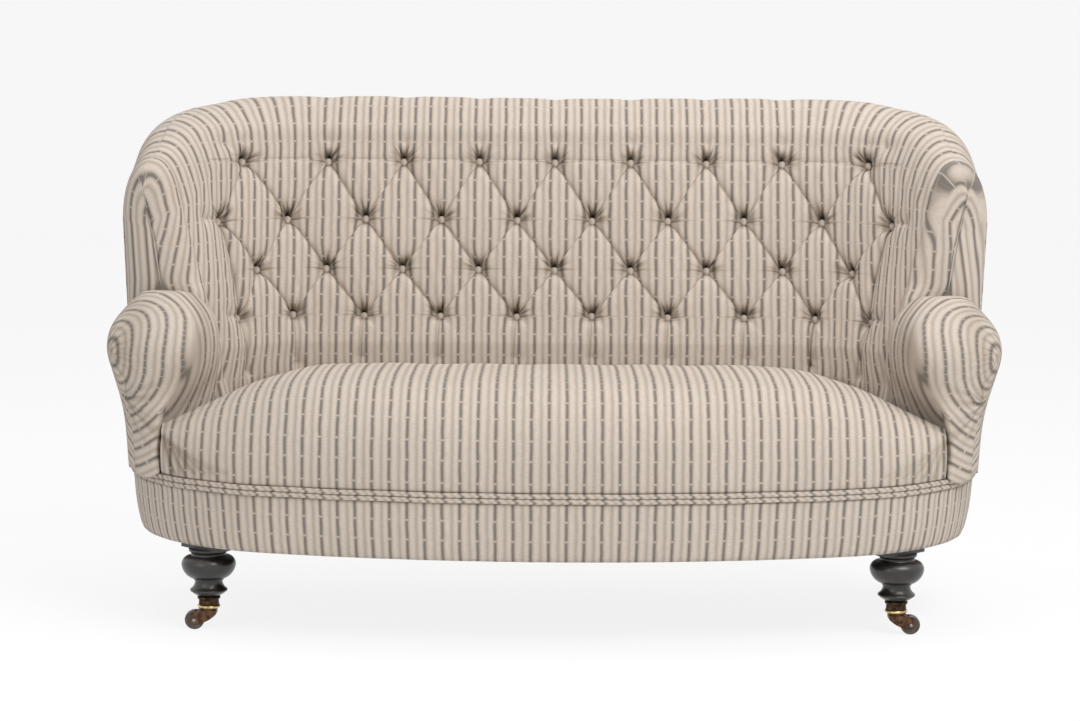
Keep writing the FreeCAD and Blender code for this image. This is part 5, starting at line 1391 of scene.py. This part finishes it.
def merge_points(obj, distance=1e-6):
    """Join the points on the axis and keep the arrises of the profile sharp."""
    work = bmesh.new()
    work.from_mesh(obj.data)
    bmesh.ops.remove_doubles(work, verts=work.verts, dist=distance)
    bmesh.ops.recalc_face_normals(work, faces=work.faces)
    work.to_mesh(obj.data)
    work.free()
    obj.data.shade_smooth()
    obj.data.set_sharp_from_angle(angle=math.radians(38))


LEG_TURN = math.radians(50.2)
LEG_X = CORNER_X + (CORNER_RADIUS - 0.0505) * math.cos(LEG_TURN)
LEG_Y = CORNER_Y - (CORNER_RADIUS - 0.0505) * math.sin(LEG_TURN)
REAR_LEG_X, REAR_LEG_Y = WELT_HALF - 0.120, FRAME_REAR - 0.022


def leg_profile():
    """Radius and height from the castor cup up to the tenon."""
    foot, collar, neck, bulb = 0.0175, 0.034, 0.025, 0.0494
    return arc_points([
        (0.0, 0.044), (foot, 0.044), (foot, 0.062),
        ((foot + 0.0055, 0.0640), (collar - 0.0022, 0.0702)),
        ((collar, 0.0722), (collar - 0.0012, 0.0752)),
        ((neck + 0.0030, 0.0800), (neck, 0.0905)),
        (neck + 0.0020, 0.0915), (neck + 0.0028, 0.0940),
        ((bulb - 0.0075, 0.1030), (bulb, 0.1195)),
        ((bulb - 0.0030, 0.1300), (neck + 0.0115, 0.1362)),
        (neck + 0.0075, 0.1375), ((neck + 0.0068, 0.1410), (neck + 0.0095, 0.1440)),
        (neck + 0.0110, 0.1455), (neck + 0.0110, 0.1490), (0.012, 0.149), (0.012, 0.223), (0.0, 0.223),
    ])


for side, label in SIDES:
    leg = turned_piece("turned_leg_" + label, leg_profile(), (side * LEG_X, LEG_Y, 0), EBONY, 72)
    finish_piece(leg, "sofa", "ebonised_wood", "front_leg_" + label)


def castor_pieces(end, label, x, y, trail):
    """Cup, axle and wheel of one castor, finer than the plain frame's."""
    key = end + "_" + label
    bore = 0.01755
    wall = bore + 0.0022
    cup = turned_piece("cup_" + key, arc_points([
        (0.0054, 0.040), (wall - 0.0016, 0.040), ((wall + 0.0011, 0.0428), (wall - 0.0016, 0.0456)),
        (wall - 0.0012, 0.0470), (wall - 0.0018, 0.0555), ((wall + 0.0013, 0.0588), (wall - 0.0011, 0.0620)),
        (bore, 0.0620), (bore, 0.0440), (0.0054, 0.0440)]), (x, y, 0), BRASS, 48)
    mesh = cup.data
    mesh.materials.append(BRIGHT_BRASS)
    for polygon in mesh.polygons:
        if polygon.center.z < 0.0452:
            polygon.material_index = 1
    finish_piece(cup, "sofa", "brass", "castor_cup_" + key)
    out = Vector((trail[0], trail[1], 0))
    across = Vector((out.y, -out.x, 0))
    axle = Vector((x, y, 0.0175)) + out * 0.026
    wheel = turned_piece("wheel_" + key, arc_points([
        (0.0027, -0.0090), (0.0070, -0.0095), (0.0085, -0.0078), (0.0118, -0.0078),
        ((0.0158, -0.0088), (0.0175, -0.0042)), (0.0175, 0.0042), ((0.0158, 0.0088), (0.0118, 0.0078)),
        (0.0085, 0.0078), (0.0070, 0.0095), (0.0027, 0.0090)], 6),
        axle, WHEEL, 48, across)
    finish_piece(wheel, "wheel_" + key, "castor_wheel", "castor_wheel_" + key)
    pin = turned_piece("pin_" + key, arc_points([
        (0.0, -0.0158), ((0.0024, -0.0154), (0.0034, -0.0143)), (0.0025, -0.0142), (0.0025, 0.0142),
        (0.0034, 0.0143), ((0.0024, 0.0154), (0.0, 0.0158))], 5), axle, STEEL, 24, across)
    finish_piece(pin, "swivel_" + key, "steel", "castor_axle_" + key)


for side, label in SIDES:
    castor_pieces("front", label, side * LEG_X, LEG_Y, (side, 0))
    castor_pieces("rear", label, side * REAR_LEG_X, REAR_LEG_Y, (0, 1))

# Finishes of the pieces that keep their own shape
finishes = {
    "front_leg": EBONY, "rear_leg": EBONY, "leg_block": EBONY, "castor_horn": BRONZE,
    "seat_springs": STEEL, "seat_webbing": JUTE, "seat_hessian": HESSIAN, "back_hessian": HESSIAN,
    "tufting_twine": TWINE, "bottom_cloth": BLACK_CLOTH,
}
for name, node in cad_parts.items():
    mat = next((m for key, m in finishes.items() if name.startswith(key)), BEECH)
    node.data.materials.clear()
    node.data.materials.append(mat)


# Floor, light and camera
FLOOR_COLOUR = (0.97, 0.97, 0.97)
FLOOR_GLOW = 0.86
SKY_LIGHT = 0.45


def seen_directly(tree):
    """One for what the camera sees, straight, in a reflection or through glass."""
    ray = node_of(tree, "ShaderNodeLightPath")
    straight = Value(tree, ray["Is Camera Ray"])
    return straight.at_least(ray["Is Glossy Ray"]).at_least(ray["Is Transmission Ray"])


def pale_floor():
    mat = bpy.data.materials.new("pale floor")
    tree = empty_tree(mat)
    plain = node_of(tree, "ShaderNodeBsdfDiffuse", {"Color": FLOOR_COLOUR})
    glow = node_of(tree, "ShaderNodeEmission", {"Strength": 1.0})
    share = seen_directly(tree) * FLOOR_GLOW
    both = node_of(tree, "ShaderNodeMixShader", {0: share, 1: plain[0], 2: glow[0]})
    node_of(tree, "ShaderNodeOutputMaterial", {"Surface": both[0]})
    return mat


def stage_floor():
    """A floor that bends up into a wall far behind the sofa."""
    reach, back, bend = 13.0, 10.0, 1.2
    profile = [(-reach, 0.0), (back, 0.0)]
    for step in range(1, 13):
        turn = math.pi / 2 * step / 12
        profile.append((back + bend * math.sin(turn), bend * (1 - math.cos(turn))))
    profile.append((back + bend, 8.0))
    points = [(x, y, z - 0.0002) for y, z in profile for x in (-reach, reach)]
    faces = [(2 * i, 2 * i + 1, 2 * i + 3, 2 * i + 2) for i in range(len(profile) - 1)]
    floor = new_piece("floor", points, faces, pale_floor())


stage_floor()

world = bpy.data.worlds.new("studio")
bpy.context.scene.world = world
sky_tree = empty_tree(world)
sky = node_of(sky_tree, "ShaderNodeBackground", {
    "Color": (1.0, 1.0, 1.0), "Strength": seen_directly(sky_tree) * (1 - SKY_LIGHT) + SKY_LIGHT})
node_of(sky_tree, "ShaderNodeOutputWorld", {"Surface": sky[0]})


def lamp(name, place, aim, size, power):
    data = bpy.data.lights.new(name, "AREA")
    data.shape = "RECTANGLE"
    data.size, data.size_y = size
    data.energy = power
    obj = bpy.data.objects.new(name, data)
    bpy.context.scene.collection.objects.link(obj)
    obj.location = place
    obj.rotation_euler = (Vector(aim) - Vector(place)).to_track_quat("-Z", "Y").to_euler()


lamp("key", (1.8, -2.4, 3.5), (0.0, 0.0, 0.4), (2.6, 1.8), 106)
lamp("fill", (-2.6, -3.4, 2.2), (0.0, 0.0, 0.5), (2.4, 2.4), 24)
lamp("top", (0.0, 0.2, 3.8), (0.0, 0.0, 0.3), (3.0, 1.6), 46)

# The camera of the photograph, measured in its pixels
FOCAL = 2808.0
PHOTO_WIDTH, PHOTO_MIDDLE = 1080, 360.5
HORIZON = 46.0
SIDE_SHIFT = 6.0
camera_data = bpy.data.cameras.new("camera")
camera_data.sensor_width = 36.0
camera_data.lens = FOCAL / PHOTO_WIDTH * camera_data.sensor_width
camera = bpy.data.objects.new("camera", camera_data)
bpy.context.scene.collection.objects.link(camera)
camera.location = (-0.015, FRONT_Y - 4.858, 1.062)
pitch = math.atan((PHOTO_MIDDLE - HORIZON) / FOCAL)
yaw = math.atan(SIDE_SHIFT / FOCAL)
turn = (Matrix.Rotation(yaw, 3, "Z") @ Matrix.Rotation(math.pi / 2 - pitch, 3, "X")
        @ Matrix.Rotation(math.radians(0.4), 3, "Z"))
camera.rotation_euler = turn.to_euler()
bpy.context.scene.camera = camera
bpy.context.scene.view_settings.view_transform = "Standard"
